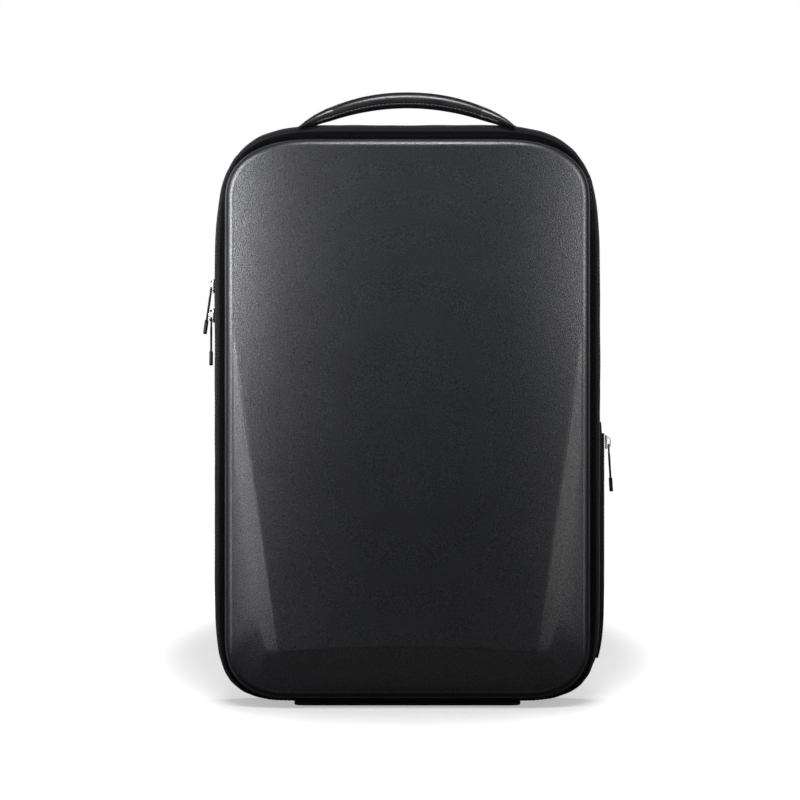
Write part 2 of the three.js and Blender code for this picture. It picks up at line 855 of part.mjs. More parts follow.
const mainSliderX =
  bodyOutline.halfWidth - shellSideInset * (1 - mainZipShare) + coilHeight + 2 * clearance;
addSliderAndPull(
  { slider: 'upper_slider', pull: 'upper_pull' },
  -1,
  mainSliderX,
  mainZipY,
  upperSliderHeight,
  upperPullLean,
  upperPullSkew,
);
addSliderAndPull(
  { slider: 'lower_slider', pull: 'lower_pull' },
  -1,
  mainSliderX,
  mainZipY,
  upperSliderHeight - sliderSpacing,
  0,
  lowerPullSkew,
);
const pocketSliderZ = pocketZipFoot + pocketZipHeight - pocketSliderDrop;
addSliderAndPull(
  { slider: 'pocket_slider', pull: 'pocket_pull' },
  1,
  halfWidthAt(bodyOutline, pocketSliderZ) + pocketCoilLift + coilHeight + clearance,
  pocketY,
  pocketSliderZ,
  pocketPullLean,
  0,
);

// Shoulder straps

// Strap stations from the top seam down: height, sideways and backward places as shares, section as shares
const strapStations = [
  { down: 0, spread: 0, back: 0.02, width: 0.86, thickness: 0.5 },
  { down: 0.06, spread: 0, back: 0.16, width: 0.94, thickness: 0.85 },
  { down: 0.15, spread: 0.02, back: 0.55, width: 1, thickness: 1 },
  { down: 0.27, spread: 0.08, back: 0.88, width: 1.02, thickness: 1 },
  { down: 0.42, spread: 0.2, back: 1, width: 1.04, thickness: 1 },
  { down: 0.58, spread: 0.4, back: 0.98, width: 1.02, thickness: 1 },
  { down: 0.74, spread: 0.65, back: 0.86, width: 0.94, thickness: 1 },
  { down: 0.88, spread: 0.86, back: 0.72, width: 0.78, thickness: 0.85 },
  { down: 1, spread: 1, back: 0.62, width: 0.56, thickness: 0.4 },
];

function strapPoint(side, { down, spread, back }) {
  return new THREE.Vector3(
    side * (strapSpread + (strapFootSpread - strapSpread) * spread),
    backY + clearance + strapThickness / 2 + strapReach * back,
    strapTop - (strapTop - strapFoot) * down,
  );
}

function makeStrap(side) {
  const curve = new THREE.CatmullRomCurve3(strapStations.map((row) => strapPoint(side, row)));
  const steps = 16;
  const rings = [];
  for (let i = 0; i <= steps; i += 1) {
    const place = (i / steps) * (strapStations.length - 1);
    const row = strapStations[Math.min(Math.floor(place), strapStations.length - 2)];
    const next = strapStations[Math.min(Math.floor(place) + 1, strapStations.length - 1)];
    const blend = place - Math.min(Math.floor(place), strapStations.length - 2);
    const mix = (key) => row[key] + (next[key] - row[key]) * blend;
    const centre = curve.getPoint(i / steps);
    const along = i < steps ? curve.getTangent(i / steps) : new THREE.Vector3(0, 0, -1);
    const out = new THREE.Vector3(1, 0, 0).cross(along).normalize();
    const across = along.clone().cross(out).normalize();
    rings.push(
      flatSection(
        centre,
        across,
        out,
        strapWidth * mix('width'),
        strapThickness * mix('thickness'),
        12,
        0.6,
      ),
    );
  }
  return loft(rings);
}

// Webbing: from the tab at the foot of the back up to the buckle, round its lower bar and down again
const strapFootY = backY + clearance + strapThickness / 2 + strapReach * strapStations.at(-1).back;
const buckleTop = strapFoot - clearance * 2;
const buckleBarZ = buckleTop - buckleHeight + buckleRim + buckleBar;
const turnRadius = Math.hypot(buckleBar, buckleThickness) / 2 + clearance + webbingThickness / 2;

function makeWebbing(side) {
  const tabY = backY + clearance * 2 + tabThickness + webbingThickness / 2;
  const barX = side * strapFootSpread;
  const inner = strapFootY - turnRadius;
  const outer = strapFootY + turnRadius;
  const foot = tabFoot + tabHeight * 0.3;
  const path = [
    new THREE.Vector3(side * (tabSpread + tabWidth * 0.3), tabY, foot),
    new THREE.Vector3(side * (tabSpread + tabWidth * 0.2), tabY, tabFoot + tabHeight),
    new THREE.Vector3(
      side * (tabSpread + (strapFootSpread - tabSpread) * 0.6),
      tabY + (inner - tabY) * 0.55,
      tabFoot + tabHeight + (buckleBarZ - tabFoot - tabHeight) * 0.5,
    ),
    new THREE.Vector3(barX, inner, buckleBarZ - buckleBar * 2.4),
    new THREE.Vector3(barX, inner, buckleBarZ),
    new THREE.Vector3(barX, strapFootY - turnRadius * Math.SQRT1_2, buckleBarZ + turnRadius * Math.SQRT1_2),
    new THREE.Vector3(barX, strapFootY, buckleBarZ + turnRadius),
    new THREE.Vector3(barX, strapFootY + turnRadius * Math.SQRT1_2, buckleBarZ + turnRadius * Math.SQRT1_2),
    new THREE.Vector3(barX, outer, buckleBarZ),
    new THREE.Vector3(barX, outer, buckleBarZ - buckleBar * 2.4),
    new THREE.Vector3(barX, outer + turnRadius, buckleBarZ - webbingTail * 0.6),
    new THREE.Vector3(barX, outer + turnRadius * 1.5, buckleBarZ - webbingTail),
  ];
  const across = new THREE.Vector3(1, 0, 0);
  const rings = path.map((point, i) => {
    const along = path[Math.min(i + 1, path.length - 1)].clone().sub(path[Math.max(i - 1, 0)]).normalize();
    const out = across.clone().cross(along).normalize();
    return flatSection(point, across, out, webbingWidth, webbingThickness, 8, 0.25);
  });
  return loft(rings);
}

function makeBuckle() {
  const width = webbingWidth + 2 * clearance + 2 * buckleRim;
  const shape = roundedRectangle(width, buckleHeight, buckleRim * 0.8);
  const half = webbingWidth / 2 + clearance;
  const lowerWindow = buckleRim;
  const windows = [
    [lowerWindow - buckleRim * 0.1, lowerWindow + buckleBar / 2],
    [lowerWindow + buckleBar * 1.5, buckleHeight - buckleRim],
  ];
  for (const [from, to] of windows) {
    const hole = new THREE.Path();
    hole.moveTo(-half, from - buckleHeight / 2);
    hole.lineTo(-half, to - buckleHeight / 2);
    hole.lineTo(half, to - buckleHeight / 2);
    hole.lineTo(half, from - buckleHeight / 2);
    hole.closePath();
    shape.holes.push(hole);
  }
  return plate(shape, buckleThickness).rotateX(Math.PI / 2);
}

function makeTab() {
  const shape = new THREE.Shape();
  shape.moveTo(-tabWidth / 2, 0);
  shape.lineTo(tabWidth / 2, 0);
  shape.lineTo(tabWidth / 2, tabHeight * 0.45);
  shape.lineTo(webbingWidth / 4, tabHeight);
  shape.lineTo(-webbingWidth / 4, tabHeight);
  shape.lineTo(-tabWidth / 2, tabHeight * 0.45);
  shape.closePath();
  return plate(shape, tabThickness).rotateX(Math.PI / 2);
}

for (const [name, side] of [
  ['left', -1],
  ['right', 1],
]) {
  addPiece(`shoulder_strap_${name}`, makeStrap(side), material(colours.fabric, 0.95));
  addPiece(`strap_webbing_${name}`, makeWebbing(side), material(colours.webbing, 0.8));
  const buckle = addPiece(`strap_buckle_${name}`, makeBuckle(), material(colours.plastic, 0.45));
  buckle.position.set(side * strapFootSpread, strapFootY, buckleTop - buckleHeight / 2);
  const tab = addPiece(`strap_tab_${name}`, makeTab(), material(colours.webbing, 0.8));
  tab.position.set(side * (tabSpread + tabWidth * 0.2), backY + clearance + tabThickness / 2, tabFoot);
}

export default group;
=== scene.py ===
"""Hard shell backpack, dressed for a studio picture.

The solid model gives every place and size. Each sub-assembly is a class that holds its own sizes, builds its
meshes in metres and dresses them. Lengths in the dataclasses are in millimetres.
"""

from __future__ import annotations

import json
import logging
import math
from dataclasses import dataclass, field
from enum import Enum
from typing import Callable, Sequence

import bpy
import numpy as np
from mathutils import Matrix, Vector

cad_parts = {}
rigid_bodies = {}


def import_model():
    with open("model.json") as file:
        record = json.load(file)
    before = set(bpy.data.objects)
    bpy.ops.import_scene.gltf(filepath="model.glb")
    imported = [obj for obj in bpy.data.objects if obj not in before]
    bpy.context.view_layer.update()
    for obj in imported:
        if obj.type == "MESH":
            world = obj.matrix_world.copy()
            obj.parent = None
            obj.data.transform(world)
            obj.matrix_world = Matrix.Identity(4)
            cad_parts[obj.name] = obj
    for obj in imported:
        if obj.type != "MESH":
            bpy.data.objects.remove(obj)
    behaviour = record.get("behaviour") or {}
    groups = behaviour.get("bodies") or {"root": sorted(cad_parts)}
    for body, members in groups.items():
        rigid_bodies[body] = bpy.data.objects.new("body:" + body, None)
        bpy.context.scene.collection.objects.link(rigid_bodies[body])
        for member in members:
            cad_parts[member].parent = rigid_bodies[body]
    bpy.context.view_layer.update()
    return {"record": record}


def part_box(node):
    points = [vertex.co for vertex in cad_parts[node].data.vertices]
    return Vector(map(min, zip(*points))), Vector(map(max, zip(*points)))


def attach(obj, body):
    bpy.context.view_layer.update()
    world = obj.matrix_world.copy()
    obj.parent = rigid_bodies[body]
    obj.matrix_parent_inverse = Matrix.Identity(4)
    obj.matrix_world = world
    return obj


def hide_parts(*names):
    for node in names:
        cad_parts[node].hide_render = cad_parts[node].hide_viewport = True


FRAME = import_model()

LOG = logging.getLogger("backpack")
MM = 0.001
BAG = "bag"
CLOTH_UV = "cloth"
Array = np.ndarray

# Turns that stand a plate drawn in X and Y up, with its Y along Z: to face the front, and to face +X
FACING_FRONT = Matrix(((1, 0, 0), (0, 0, -1), (0, 1, 0))).to_4x4()
FACING_SIDE = Matrix(((0, 0, 1), (1, 0, 0), (0, 1, 0))).to_4x4()


# Colours and shader helpers


def linear(colour: str) -> tuple[float, float, float, float]:
    """Turns a colour from sRGB into linear light.

    Args:
        colour: An sRGB hex value.

    Returns:
        Linear red, green and blue, and an alpha of 1.
    """
    channels = [int(colour[i : i + 2], 16) / 255 for i in (1, 3, 5)]
    curve = [c / 12.92 if c <= 0.04045 else ((c + 0.055) / 1.055) ** 2.4 for c in channels]
    return (*curve, 1.0)


def add_node(
    tree: bpy.types.NodeTree,
    kind: str,
    settings: dict | None = None,
    links: dict | None = None,
) -> bpy.types.Node:
    """Adds a node with its settings and links.

    Args:
        tree: The node tree that takes the node.
        kind: The node's type name.
        settings: Values by property name, or by input name or number.
        links: Source sockets by input name or number.

    Returns:
        The new node.
    """
    node = tree.nodes.new(kind)
    for key, value in (settings or {}).items():
        if isinstance(key, int) or (key in node.inputs and not hasattr(node, str(key))):
            node.inputs[key].default_value = value
        else:
            setattr(node, key, value)
    for key, source in (links or {}).items():
        tree.links.new(source, node.inputs[key])
    return node


# Finishes


class Weave(Enum):
    """How a cloth's threads cross."""

    PLAIN = "plain"
    RIBBED = "ribbed"


@dataclass(frozen=True)
class Finish:
    """A surface finish: what it is, the record's slot that it stands for and its shader's base values."""

    name: str
    slot: str
    colour: str
    roughness: float
    specular: float = 0.5
    metallic: float = 0.0

    def material(self) -> bpy.types.Material:
        """Makes the finish's material the first time that it is asked for.

        Returns:
            The material, one for all the pieces with this finish.
        """
        known = bpy.data.materials.get(self.name)
        if known:
            return known
        made = bpy.data.materials.new(self.name)
        made.use_nodes = True
        tree = made.node_tree
        shader = tree.nodes["Principled BSDF"]
        shader.inputs["Base Color"].default_value = linear(self.colour)
        shader.inputs["Roughness"].default_value = self.roughness
        shader.inputs["Metallic"].default_value = self.metallic
        if self.metallic < 1:
            shader.inputs["Specular IOR Level"].default_value = self.specular
        self.dress(tree, shader)
        return made

    def dress(self, tree: bpy.types.NodeTree, shader: bpy.types.Node) -> None:
        """Adds the finish's own pattern to its material."""

    def place(self, tree: bpy.types.NodeTree) -> bpy.types.NodeSocket:
        """Returns the socket of a point's place on the object, in metres."""
        return add_node(tree, "ShaderNodeTexCoord").outputs["Object"]

    def mottle(
        self,
        tree: bpy.types.NodeTree,
        shader: bpy.types.Node,
        size_mm: float,
        lighter: str,
        roughness: tuple[float, float],
    ) -> None:
        """Varies colour and roughness over soft patches.

        Args:
            tree: The material's node tree.
            shader: The material's shader.
            size_mm: Size of a patch.
            lighter: The colour of the palest patches.
            roughness: Lowest and highest roughness.
        """
        noise = add_node(
            tree,
            "ShaderNodeTexNoise",
            {"Scale": 1 / (size_mm * MM), "Detail": 4.0, "Roughness": 0.6},
            {"Vector": self.place(tree)},
        )
        tint = add_node(
            tree,
            "ShaderNodeMix",
            {"data_type": "RGBA", 6: linear(self.colour), 7: linear(lighter)},
            {0: noise.outputs["Fac"]},
        )
        rough = add_node(
            tree,
            "ShaderNodeMapRange",
            {"From Min": 0.3, "From Max": 0.7, "To Min": roughness[0], "To Max": roughness[1]},
            {"Value": noise.outputs["Fac"]},
        )
        tree.links.new(tint.outputs[2], shader.inputs["Base Color"])
        tree.links.new(rough.outputs["Result"], shader.inputs["Roughness"])

    def bump(
        self,
        tree: bpy.types.NodeTree,
        shader: bpy.types.Node,
        height: bpy.types.NodeSocket,
        depth_mm: float,
        under: bpy.types.NodeSocket | None = None,
    ) -> bpy.types.NodeSocket:
        """Gives the shader a bump of a real depth.

        Args:
            tree: The material's node tree.
            shader: The material's shader.
            height: Socket of the relief's height, from 0 to 1.
            depth_mm: The relief's real depth; a negative one turns it over.
            under: Normal of a relief that this one lies over.

        Returns:
            The bump's normal, to lay another relief over it.
        """
        links = {"Height": height}
        if under:
            links["Normal"] = under
        node = add_node(tree, "ShaderNodeBump", {"Strength": 1.0, "Distance": depth_mm * MM}, links)
        tree.links.new(node.outputs["Normal"], shader.inputs["Normal"])
        return node.outputs["Normal"]

    def waves(
        self, tree: bpy.types.NodeTree, pitches_mm: tuple[float, float]
    ) -> list[bpy.types.NodeSocket]:
        """Makes a sine wave along each direction of a cloth.

        Args:
            tree: The material's node tree.
            pitches_mm: Half a wave's length along U and along V.

        Returns:
            The two waves, each from -1 to 1.
        """
        uv = add_node(tree, "ShaderNodeUVMap", {"uv_map": CLOTH_UV})
        parts = add_node(tree, "ShaderNodeSeparateXYZ", links={0: uv.outputs["UV"]})
        sines = []
        for axis, pitch in zip("XY", pitches_mm):
            turn = add_node(
                tree,
                "ShaderNodeMath",
                {"operation": "MULTIPLY", 1: math.pi / (pitch * MM)},
                {0: parts.outputs[axis]},
            )
            sine = add_node(tree, "ShaderNodeMath", {"operation": "SINE"}, {0: turn.outputs[0]})
            sines.append(sine.outputs[0])
        return sines


@dataclass(frozen=True)
class GrainedFilm(Finish):
    """Film pressed with a fine leather grain: pebbles of one size with soft valleys between them."""

    grain_mm: float = 1.1
    depth_mm: float = 0.05
    lighter: str = "#34363a"
    spread: float = 0.05
    patch_mm: float = 40.0
    speckle: float = 0.0
    crumb_share: float = 0.6

    def dress(self, tree: bpy.types.NodeTree, shader: bpy.types.Node) -> None:
        """Adds pebbled grain, a crumb of gloss and relief over it, and slow changes of tone.

        Args:
            tree: The material's node tree.
            shader: The material's shader.
        """
        self.mottle(
            tree,
            shader,
            self.patch_mm,
            self.lighter,
            (self.roughness - self.spread, self.roughness + self.spread),
        )
        pebbles = add_node(
            tree,
            "ShaderNodeTexVoronoi",
            {"feature": "SMOOTH_F1", "Scale": 1 / (self.grain_mm * MM), "Smoothness": 0.6},
            {"Vector": self.place(tree)},
        )
        crumb = add_node(
            tree,
            "ShaderNodeTexNoise",
            {"Scale": 1.2 / (self.grain_mm * MM), "Detail": 2.0},
            {"Vector": self.place(tree)},
        )
        if self.speckle:
            low, high = self.specular * (1 - self.speckle), self.specular * (1 + self.speckle)
            gloss = add_node(
                tree,
                "ShaderNodeMapRange",
                {"From Min": 0.3, "From Max": 0.7, "To Min": low, "To Max": high},
                {"Value": crumb.outputs["Fac"]},
            )
            tree.links.new(gloss.outputs["Result"], shader.inputs["Specular IOR Level"])
        coarse = self.bump(tree, shader, pebbles.outputs["Distance"], -self.depth_mm)
        self.bump(tree, shader, crumb.outputs["Fac"], self.depth_mm * self.crumb_share, coarse)


@dataclass(frozen=True)
class WovenCloth(Finish):
    """Woven threads, drawn as coarse as the picture needs to show them, with painted shade between them."""

    weave: Weave = Weave.PLAIN
    thread_mm: float = 1.2
    cross_mm: float = 1.2
    depth_mm: float = 0.18
    # Colour of the thread crowns; the valleys keep the darker colour as painted shade
    lighter: str = "#2b2c2f"
    sheen: float = 0.04
    fuzz_mm: float = 0.7
    fuzz_share: float = 0.35

    def dress(self, tree: bpy.types.NodeTree, shader: bpy.types.Node) -> None:
        """Adds the weave's relief, fuzz and a faint sheen, and painted shade that darkens the valleys between
        threads and leaves the crowns paler.

        Args:
            tree: The material's node tree.
            shader: The material's shader.
        """
        shader.inputs["Sheen Weight"].default_value = self.sheen
        shader.inputs["Sheen Roughness"].default_value = 0.6
        along, across = self.waves(tree, (self.thread_mm, self.cross_mm))
        if self.weave is Weave.RIBBED:
            crossing = add_node(tree, "ShaderNodeMath", {"operation": "ABSOLUTE"}, {0: along})
        else:
            crossing = add_node(tree, "ShaderNodeMath", {"operation": "MULTIPLY"}, {0: along, 1: across})
        level = add_node(
            tree,
            "ShaderNodeMapRange",
            {"From Min": -1.0, "From Max": 1.0},
            {"Value": crossing.outputs[0]},
        )
        fuzz = add_node(
            tree,
            "ShaderNodeTexNoise",
            {"Scale": 1 / (self.fuzz_mm * MM), "Detail": 3.0},
            {"Vector": self.place(tree)},
        )
        # Painted shade: the colour darkens in the valleys between threads and pales on the crowns, varied by
        # the fuzz
        shade = add_node(
            tree,
            "ShaderNodeMath",
            {"operation": "MULTIPLY"},
            {0: level.outputs["Result"], 1: fuzz.outputs["Fac"]},
        )
        tint = add_node(
            tree,
            "ShaderNodeMix",
            {"data_type": "RGBA", 6: linear(self.colour), 7: linear(self.lighter)},
            {0: shade.outputs[0]},
        )
        tree.links.new(tint.outputs[2], shader.inputs["Base Color"])
        threads = self.bump(tree, shader, level.outputs["Result"], self.depth_mm)
        self.bump(tree, shader, fuzz.outputs["Fac"], self.depth_mm * self.fuzz_share, threads)


@dataclass(frozen=True)
class SpacerMesh(Finish):
    """Air mesh: round holes knitted into a springy face over darker cloth, with painted shade in the holes.
    """

    hole_mm: float = 3.0
    depth_mm: float = 0.6
    # Colour of the holes: the cloth beneath, darkened as painted shade
    painted_hole_shade: str = "#060607"
    fuzz_mm: float = 0.6
    fuzz_depth_mm: float = 0.08

    def dress(self, tree: bpy.types.NodeTree, shader: bpy.types.Node) -> None:
        """Adds rows of round holes with raised rims, painted dark as the shade inside them, and knit fuzz.

        Args:
            tree: The material's node tree.
            shader: The material's shader.
        """
        along, across = self.waves(tree, (self.hole_mm, self.hole_mm))
        product = add_node(tree, "ShaderNodeMath", {"operation": "MULTIPLY"}, {0: along, 1: across})
        hole = add_node(
            tree,
            "ShaderNodeMapRange",
            {"From Min": 0.25, "From Max": 0.75, "interpolation_type": "SMOOTHSTEP"},
            {"Value": product.outputs[0]},
        )
        # Painted shade: the holes take the dark colour
        tint = add_node(
            tree,
            "ShaderNodeMix",
            {"data_type": "RGBA", 6: linear(self.colour), 7: linear(self.painted_hole_shade)},
            {0: hole.outputs["Result"]},
        )
        tree.links.new(tint.outputs[2], shader.inputs["Base Color"])
        fuzz = add_node(
            tree,
            "ShaderNodeTexNoise",
            {"Scale": 1 / (self.fuzz_mm * MM), "Detail": 3.0},
            {"Vector": self.place(tree)},
        )
        holes = self.bump(tree, shader, hole.outputs["Result"], -self.depth_mm)
        self.bump(tree, shader, fuzz.outputs["Fac"], self.fuzz_depth_mm, holes)


@dataclass(frozen=True)
class WornSmooth(Finish):
    """A smooth hard surface with faint handling marks: moulded plastic, plate or enamel."""

    mark_mm: float = 6.0
    spread: float = 0.04
    depth_mm: float = 0.01
    lowest_roughness: float = 0.03

    def dress(self, tree: bpy.types.NodeTree, shader: bpy.types.Node) -> None:
        """Adds soft marks to colour, gloss and relief.

        Args:
            tree: The material's node tree.
            shader: The material's shader.
        """
        low = max(self.roughness - self.spread, self.lowest_roughness)
        self.mottle(tree, shader, self.mark_mm, self.colour, (low, self.roughness + self.spread))
        noise = add_node(
            tree,
            "ShaderNodeTexNoise",
            {"Scale": 3 / (self.mark_mm * MM), "Detail": 4.0},
            {"Vector": self.place(tree)},
        )
        self.bump(tree, shader, noise.outputs["Fac"], self.depth_mm)


# EVA foam moulded under a grained film: satin charcoal with broad soft highlights
SHELL_FILM = GrainedFilm(
    "moulded_eva_film",
    "shell",
    "#0a0b10",
    0.41,
    0.5,
    grain_mm=0.8,
    depth_mm=0.1,
    lighter="#0e0f14",
    spread=0.012,
    speckle=0.6,
)
# Coated cloth rolled over a cord: a black bead with a thin satin highlight
PIPING_COAT = GrainedFilm("coated_piping", "piping", "#070709", 0.5, 0.12, grain_mm=0.8, depth_mm=0.02)
# Polyester cloth with a plain weave: dull black, with painted shade that darkens the valleys between the
# threads and leaves their crowns paler
GUSSET_CLOTH = WovenCloth(
    "woven_polyester",
    "gusset_fabric",
    "#070709",
    0.9,
    0.08,
    lighter="#1a1b1f",
    sheen=0.0,
)
# Polyester zip tape, woven with ribs along its length: a matt strip, painted darker than the cloth beside it
# as the shade of its recess, with painted shade between its ribs
ZIP_TAPE_PAINTED_SHADE = WovenCloth(
    "woven_zip_tape",
    "zip_tape",
    "#020202",
    0.95,
    0.03,
    weave=Weave.RIBBED,
    thread_mm=1.6,
    depth_mm=0.12,
    lighter="#070707",
    sheen=0.0,
)
# Nylon coil, drawn and wound: small black turns with a low shine, painted darker still as the shade of the
# zip's recess
ZIP_COIL_PAINTED_SHADE = WornSmooth("wound_nylon_coil", "zip_coil", "#030304", 0.5, 0.03)
# Air mesh knitted over foam: soft charcoal dotted with holes painted dark as the shade inside them
BACK_MESH = SpacerMesh("knitted_air_mesh", "back_mesh", "#1e1f22", 0.85, 0.3)
# Coated cloth on the base, pressed with a coarse grain: tougher and duller than the shell
BASE_COAT = GrainedFilm("coated_base_cloth", "base", "#161718", 0.55, 0.4, grain_mm=1.4, depth_mm=0.06)
# Calendered leather on the handle: black, smooth and semi-glossy
HANDLE_LEATHER = GrainedFilm(
    "calendered_leather",
    "handle_leather",
    "#070709",
    0.36,
    0.4,
    grain_mm=1.1,
    depth_mm=0.008,
    lighter="#0c0c0f",
    spread=0.05,
    patch_mm=15.0,
)
# Nickel plate over cast zinc: a bright mirror with soft handling marks
NICKEL = WornSmooth("nickel_plate", "slider_metal", "#cfd1d3", 0.16, metallic=1.0)
# Black enamel sprayed on the zinc pulls: nearly black with a soft shine
ENAMEL = WornSmooth("black_enamel", "pull_metal", "#050506", 0.35, 0.15)
# Strap cloth, polyester woven finer than the gusset's: dark grey and matt, with painted shade between the
# threads
STRAP_CLOTH = WovenCloth("strap_polyester", "strap_fabric", "#18191b", 0.85, 0.3, thread_mm=1.0, cross_mm=1.0)
# Polyester webbing, woven from thick threads: coarse ribs with a dull shine, and painted shade between them
WEBBING_RIB = WovenCloth(
    "woven_webbing",
    "webbing",
    "#131415",
    0.8,
    0.3,
    thread_mm=2.2,
    cross_mm=1.1,
    depth_mm=0.25,
)
# Acetal, injection moulded: dark buckles with a faint gloss
ACETAL = WornSmooth("moulded_acetal", "buckle_plastic", "#111213", 0.4, 0.5)
# Bonded polyester thread: stitches a touch paler than the cloth under them
THREAD_GUSSET = WornSmooth("bonded_thread", "gusset_fabric", "#1d1e21", 0.7, 0.2)
# Waxed thread on the handle: grey stitches that catch the light
THREAD_HANDLE = WornSmooth("waxed_thread", "handle_leather", "#55565a", 0.35, 0.5)
# Polyester thread on the straps: dull grey stitches
THREAD_STRAP = WornSmooth("strap_thread", "strap_fabric", "#2a2b2e", 0.6, 0.4)


# Mesh helpers


@dataclass
class Patch:
    """Vertices, faces and one UV pair for each face corner, all in metres."""

    points: Array
    faces: list[tuple[int, ...]]
    uvs: list[tuple[float, float]] = field(default_factory=list)

    @staticmethod
    def joined(patches: Sequence["Patch"]) -> "Patch":
        """Joins several patches.

        Args:
            patches: The patches; one without UVs gets zeros.

        Returns:
            All of them as one patch.
        """
        start = 0
        faces: list[tuple[int, ...]] = []
        uvs: list[tuple[float, float]] = []
        for patch in patches:
            faces += [tuple(i + start for i in face) for face in patch.faces]
            uvs += patch.uvs or [(0.0, 0.0)] * sum(len(face) for face in patch.faces)
            start += len(patch.points)
        return Patch(np.vstack([patch.points for patch in patches]), faces, uvs)

    def outward(self) -> "Patch":
        """Turns the faces to point out of the solid.

        Returns:
            This patch, or a copy with every face turned over.
        """
        volume = 0.0
        middle = self.points.mean(axis=0)
        for face in self.faces:
            first = self.points[face[0]] - middle
            for b, c in zip(face[1:], face[2:]):
                volume += float(np.dot(first, np.cross(self.points[b] - middle, self.points[c] - middle)))
        if volume >= 0:
            return self
        uvs: list[tuple[float, float]] = []
        start = 0
        for face in self.faces:
            uvs += self.uvs[start : start + len(face)][::-1]
            start += len(face)
        return Patch(self.points, [face[::-1] for face in self.faces], uvs)


def loft(rings: Sequence[Array], is_loop: bool = False) -> Patch:
    """Joins rings of equal length.

    Args:
        rings: Closed rings of points.
        is_loop: True to join the last ring to the first; otherwise both ends are capped.

    Returns:
        A closed patch with UVs in metres along and across the rings.
    """
    stack = np.array(rings)
    rows, count, _ = stack.shape
    closed = np.concatenate([stack, stack[:, :1]], axis=1)
    steps = np.linalg.norm(np.diff(closed, axis=1), axis=2)
    along = np.concatenate([np.zeros((rows, 1)), np.cumsum(steps, axis=1)], axis=1)
    across = np.linalg.norm(np.diff(np.concatenate([stack, stack[:1]]), axis=0), axis=2).mean(axis=1)
    heights = np.concatenate([[0.0], np.cumsum(across)])
    faces: list[tuple[int, ...]] = []
    uvs: list[tuple[float, float]] = []
    last = rows if is_loop else rows - 1
    for j in range(last):
        k = (j + 1) % rows
        for i in range(count):
            n = (i + 1) % count
            faces.append((j * count + i, j * count + n, k * count + n, k * count + i))
            u, v = along[j][i], along[j][i + 1]
            uvs += [(u, heights[j]), (v, heights[j]), (v, heights[j + 1]), (u, heights[j + 1])]
    points = stack.reshape(-1, 3)
    if not is_loop:
        for j, turned in ((0, True), (rows - 1, False)):
            centre = len(points)
            points = np.vstack([points, stack[j].mean(axis=0)])
            for i in range(count):
                n = (i + 1) % count
                a, b = (n, i) if turned else (i, n)
                faces.append((j * count + a, j * count + b, centre))
                for corner in (j * count + a, j * count + b, centre):
                    uvs.append((float(points[corner][0]), float(points[corner][2])))
    return Patch(points, faces, uvs).outward()


def sweep(
    centres: Array,
    across: Array,
    out: Array,
    widths: Array,
    thicknesses: Array,
    sides: int,
    boxiness: float,
) -> list[Array]:
    """Makes one flat closed section at each station of a path.

    Args:
        centres: The stations.
        across: Unit direction of each section's width.
        out: Unit direction of each section's thickness.
        widths: Full widths in metres.
        thicknesses: Full thicknesses in metres.
        sides: Points in a section.
        boxiness: 1 for an ellipse, towards 0 for a box.

    Returns:
        The sections, one ring each.
    """
    angle = 2 * np.pi * (np.arange(sides) + 0.5) / sides
    side = np.sign(np.cos(angle)) * np.abs(np.cos(angle)) ** boxiness
    rise = np.sign(np.sin(angle)) * np.abs(np.sin(angle)) ** boxiness
    return [
        c + np.outer(side * w / 2, a) + np.outer(rise * t / 2, o)
        for c, a, o, w, t in zip(centres, across, out, widths, thicknesses)
    ]


def smooth_path(points: Array, count: int) -> Array:
    """Draws a Catmull-Rom curve through points.

    Args:
        points: The points, one a row, with any number of columns.
        count: How many points to return.

    Returns:
        Points on the curve, evenly spread between the given ones.
    """
    padded = np.vstack([2 * points[0] - points[1], points, 2 * points[-1] - points[-2]])
    result = []
    for place in np.linspace(0, len(points) - 1, count):
        i = min(int(place), len(points) - 2)
        t = place - i
        a, b, c, d = padded[i : i + 4]
        result.append(
            0.5 * (2 * b + (c - a) * t + (2 * a - 5 * b + 4 * c - d) * t**2 + (3 * b - a - 3 * c + d) * t**3)
        )
    return np.array(result)


def unit(vectors: Array) -> Array:
    """Returns vectors scaled to length 1."""
    return vectors / np.maximum(np.linalg.norm(vectors, axis=-1, keepdims=True), 1e-12)


def blend(share: Array) -> Array:
    """Returns an even rise from 0 to 1 as the share goes from 0 to 1, held beyond them."""
    t = np.clip(share, 0, 1)
    return t * t * (3 - 2 * t)


def backwards(count: int) -> Array:
    """Returns the direction towards the wearer, once for each of count points."""
    return np.tile([0.0, 1.0, 0.0], (count, 1))


def strap_frame(along: Array) -> tuple[Array, Array]:
    """Returns the directions out of and across a strap that runs along the given ones."""
    out = unit(np.cross(np.array([1.0, 0.0, 0.0]), along))
    return out, np.cross(along, out)


def capsule(length: float, width: float, height: float, sides: int = 6) -> Patch:
    """Makes a small bar with rounded ends.

    Args:
        length: Its length along X in metres.
        width: Its width along Y in metres.
        height: Its height along Z in metres.
        sides: Points in a section.

    Returns:
        The bar, centred on the origin.
    """
    rings = []
    for place, swell in ((-1, 0.45), (-0.8, 0.9), (0.0, 1.0), (0.8, 0.9), (1, 0.45)):
        angle = 2 * np.pi * np.arange(sides) / sides
        rings.append(
            np.stack(
                [
                    np.full(sides, place * length / 2),
                    np.cos(angle) * swell * width / 2,
                    np.sin(angle) * swell * height / 2,
                ],
                axis=1,
            )
        )
    return loft(rings)


def stamped(piece: Patch, places: Array, along: Array, out: Array) -> Patch:
    """Repeats a small patch along a path.

    Args:
        piece: The patch, drawn along X with +Z outwards.
        places: Where each copy goes.
        along: Direction of each copy's X.
        out: Outward direction of each copy, at right angles to along.

    Returns:
        All copies as one patch.
    """
    side = np.cross(out, along)
    frames = np.stack([along, side, out], axis=1)
    points = np.einsum("pk,nkc->npc", piece.points, frames) + places[:, None, :]
    step = len(piece.points)
    faces = [tuple(i + n * step for i in face) for n in range(len(places)) for face in piece.faces]
    return Patch(points.reshape(-1, 3), faces, piece.uvs * len(places))


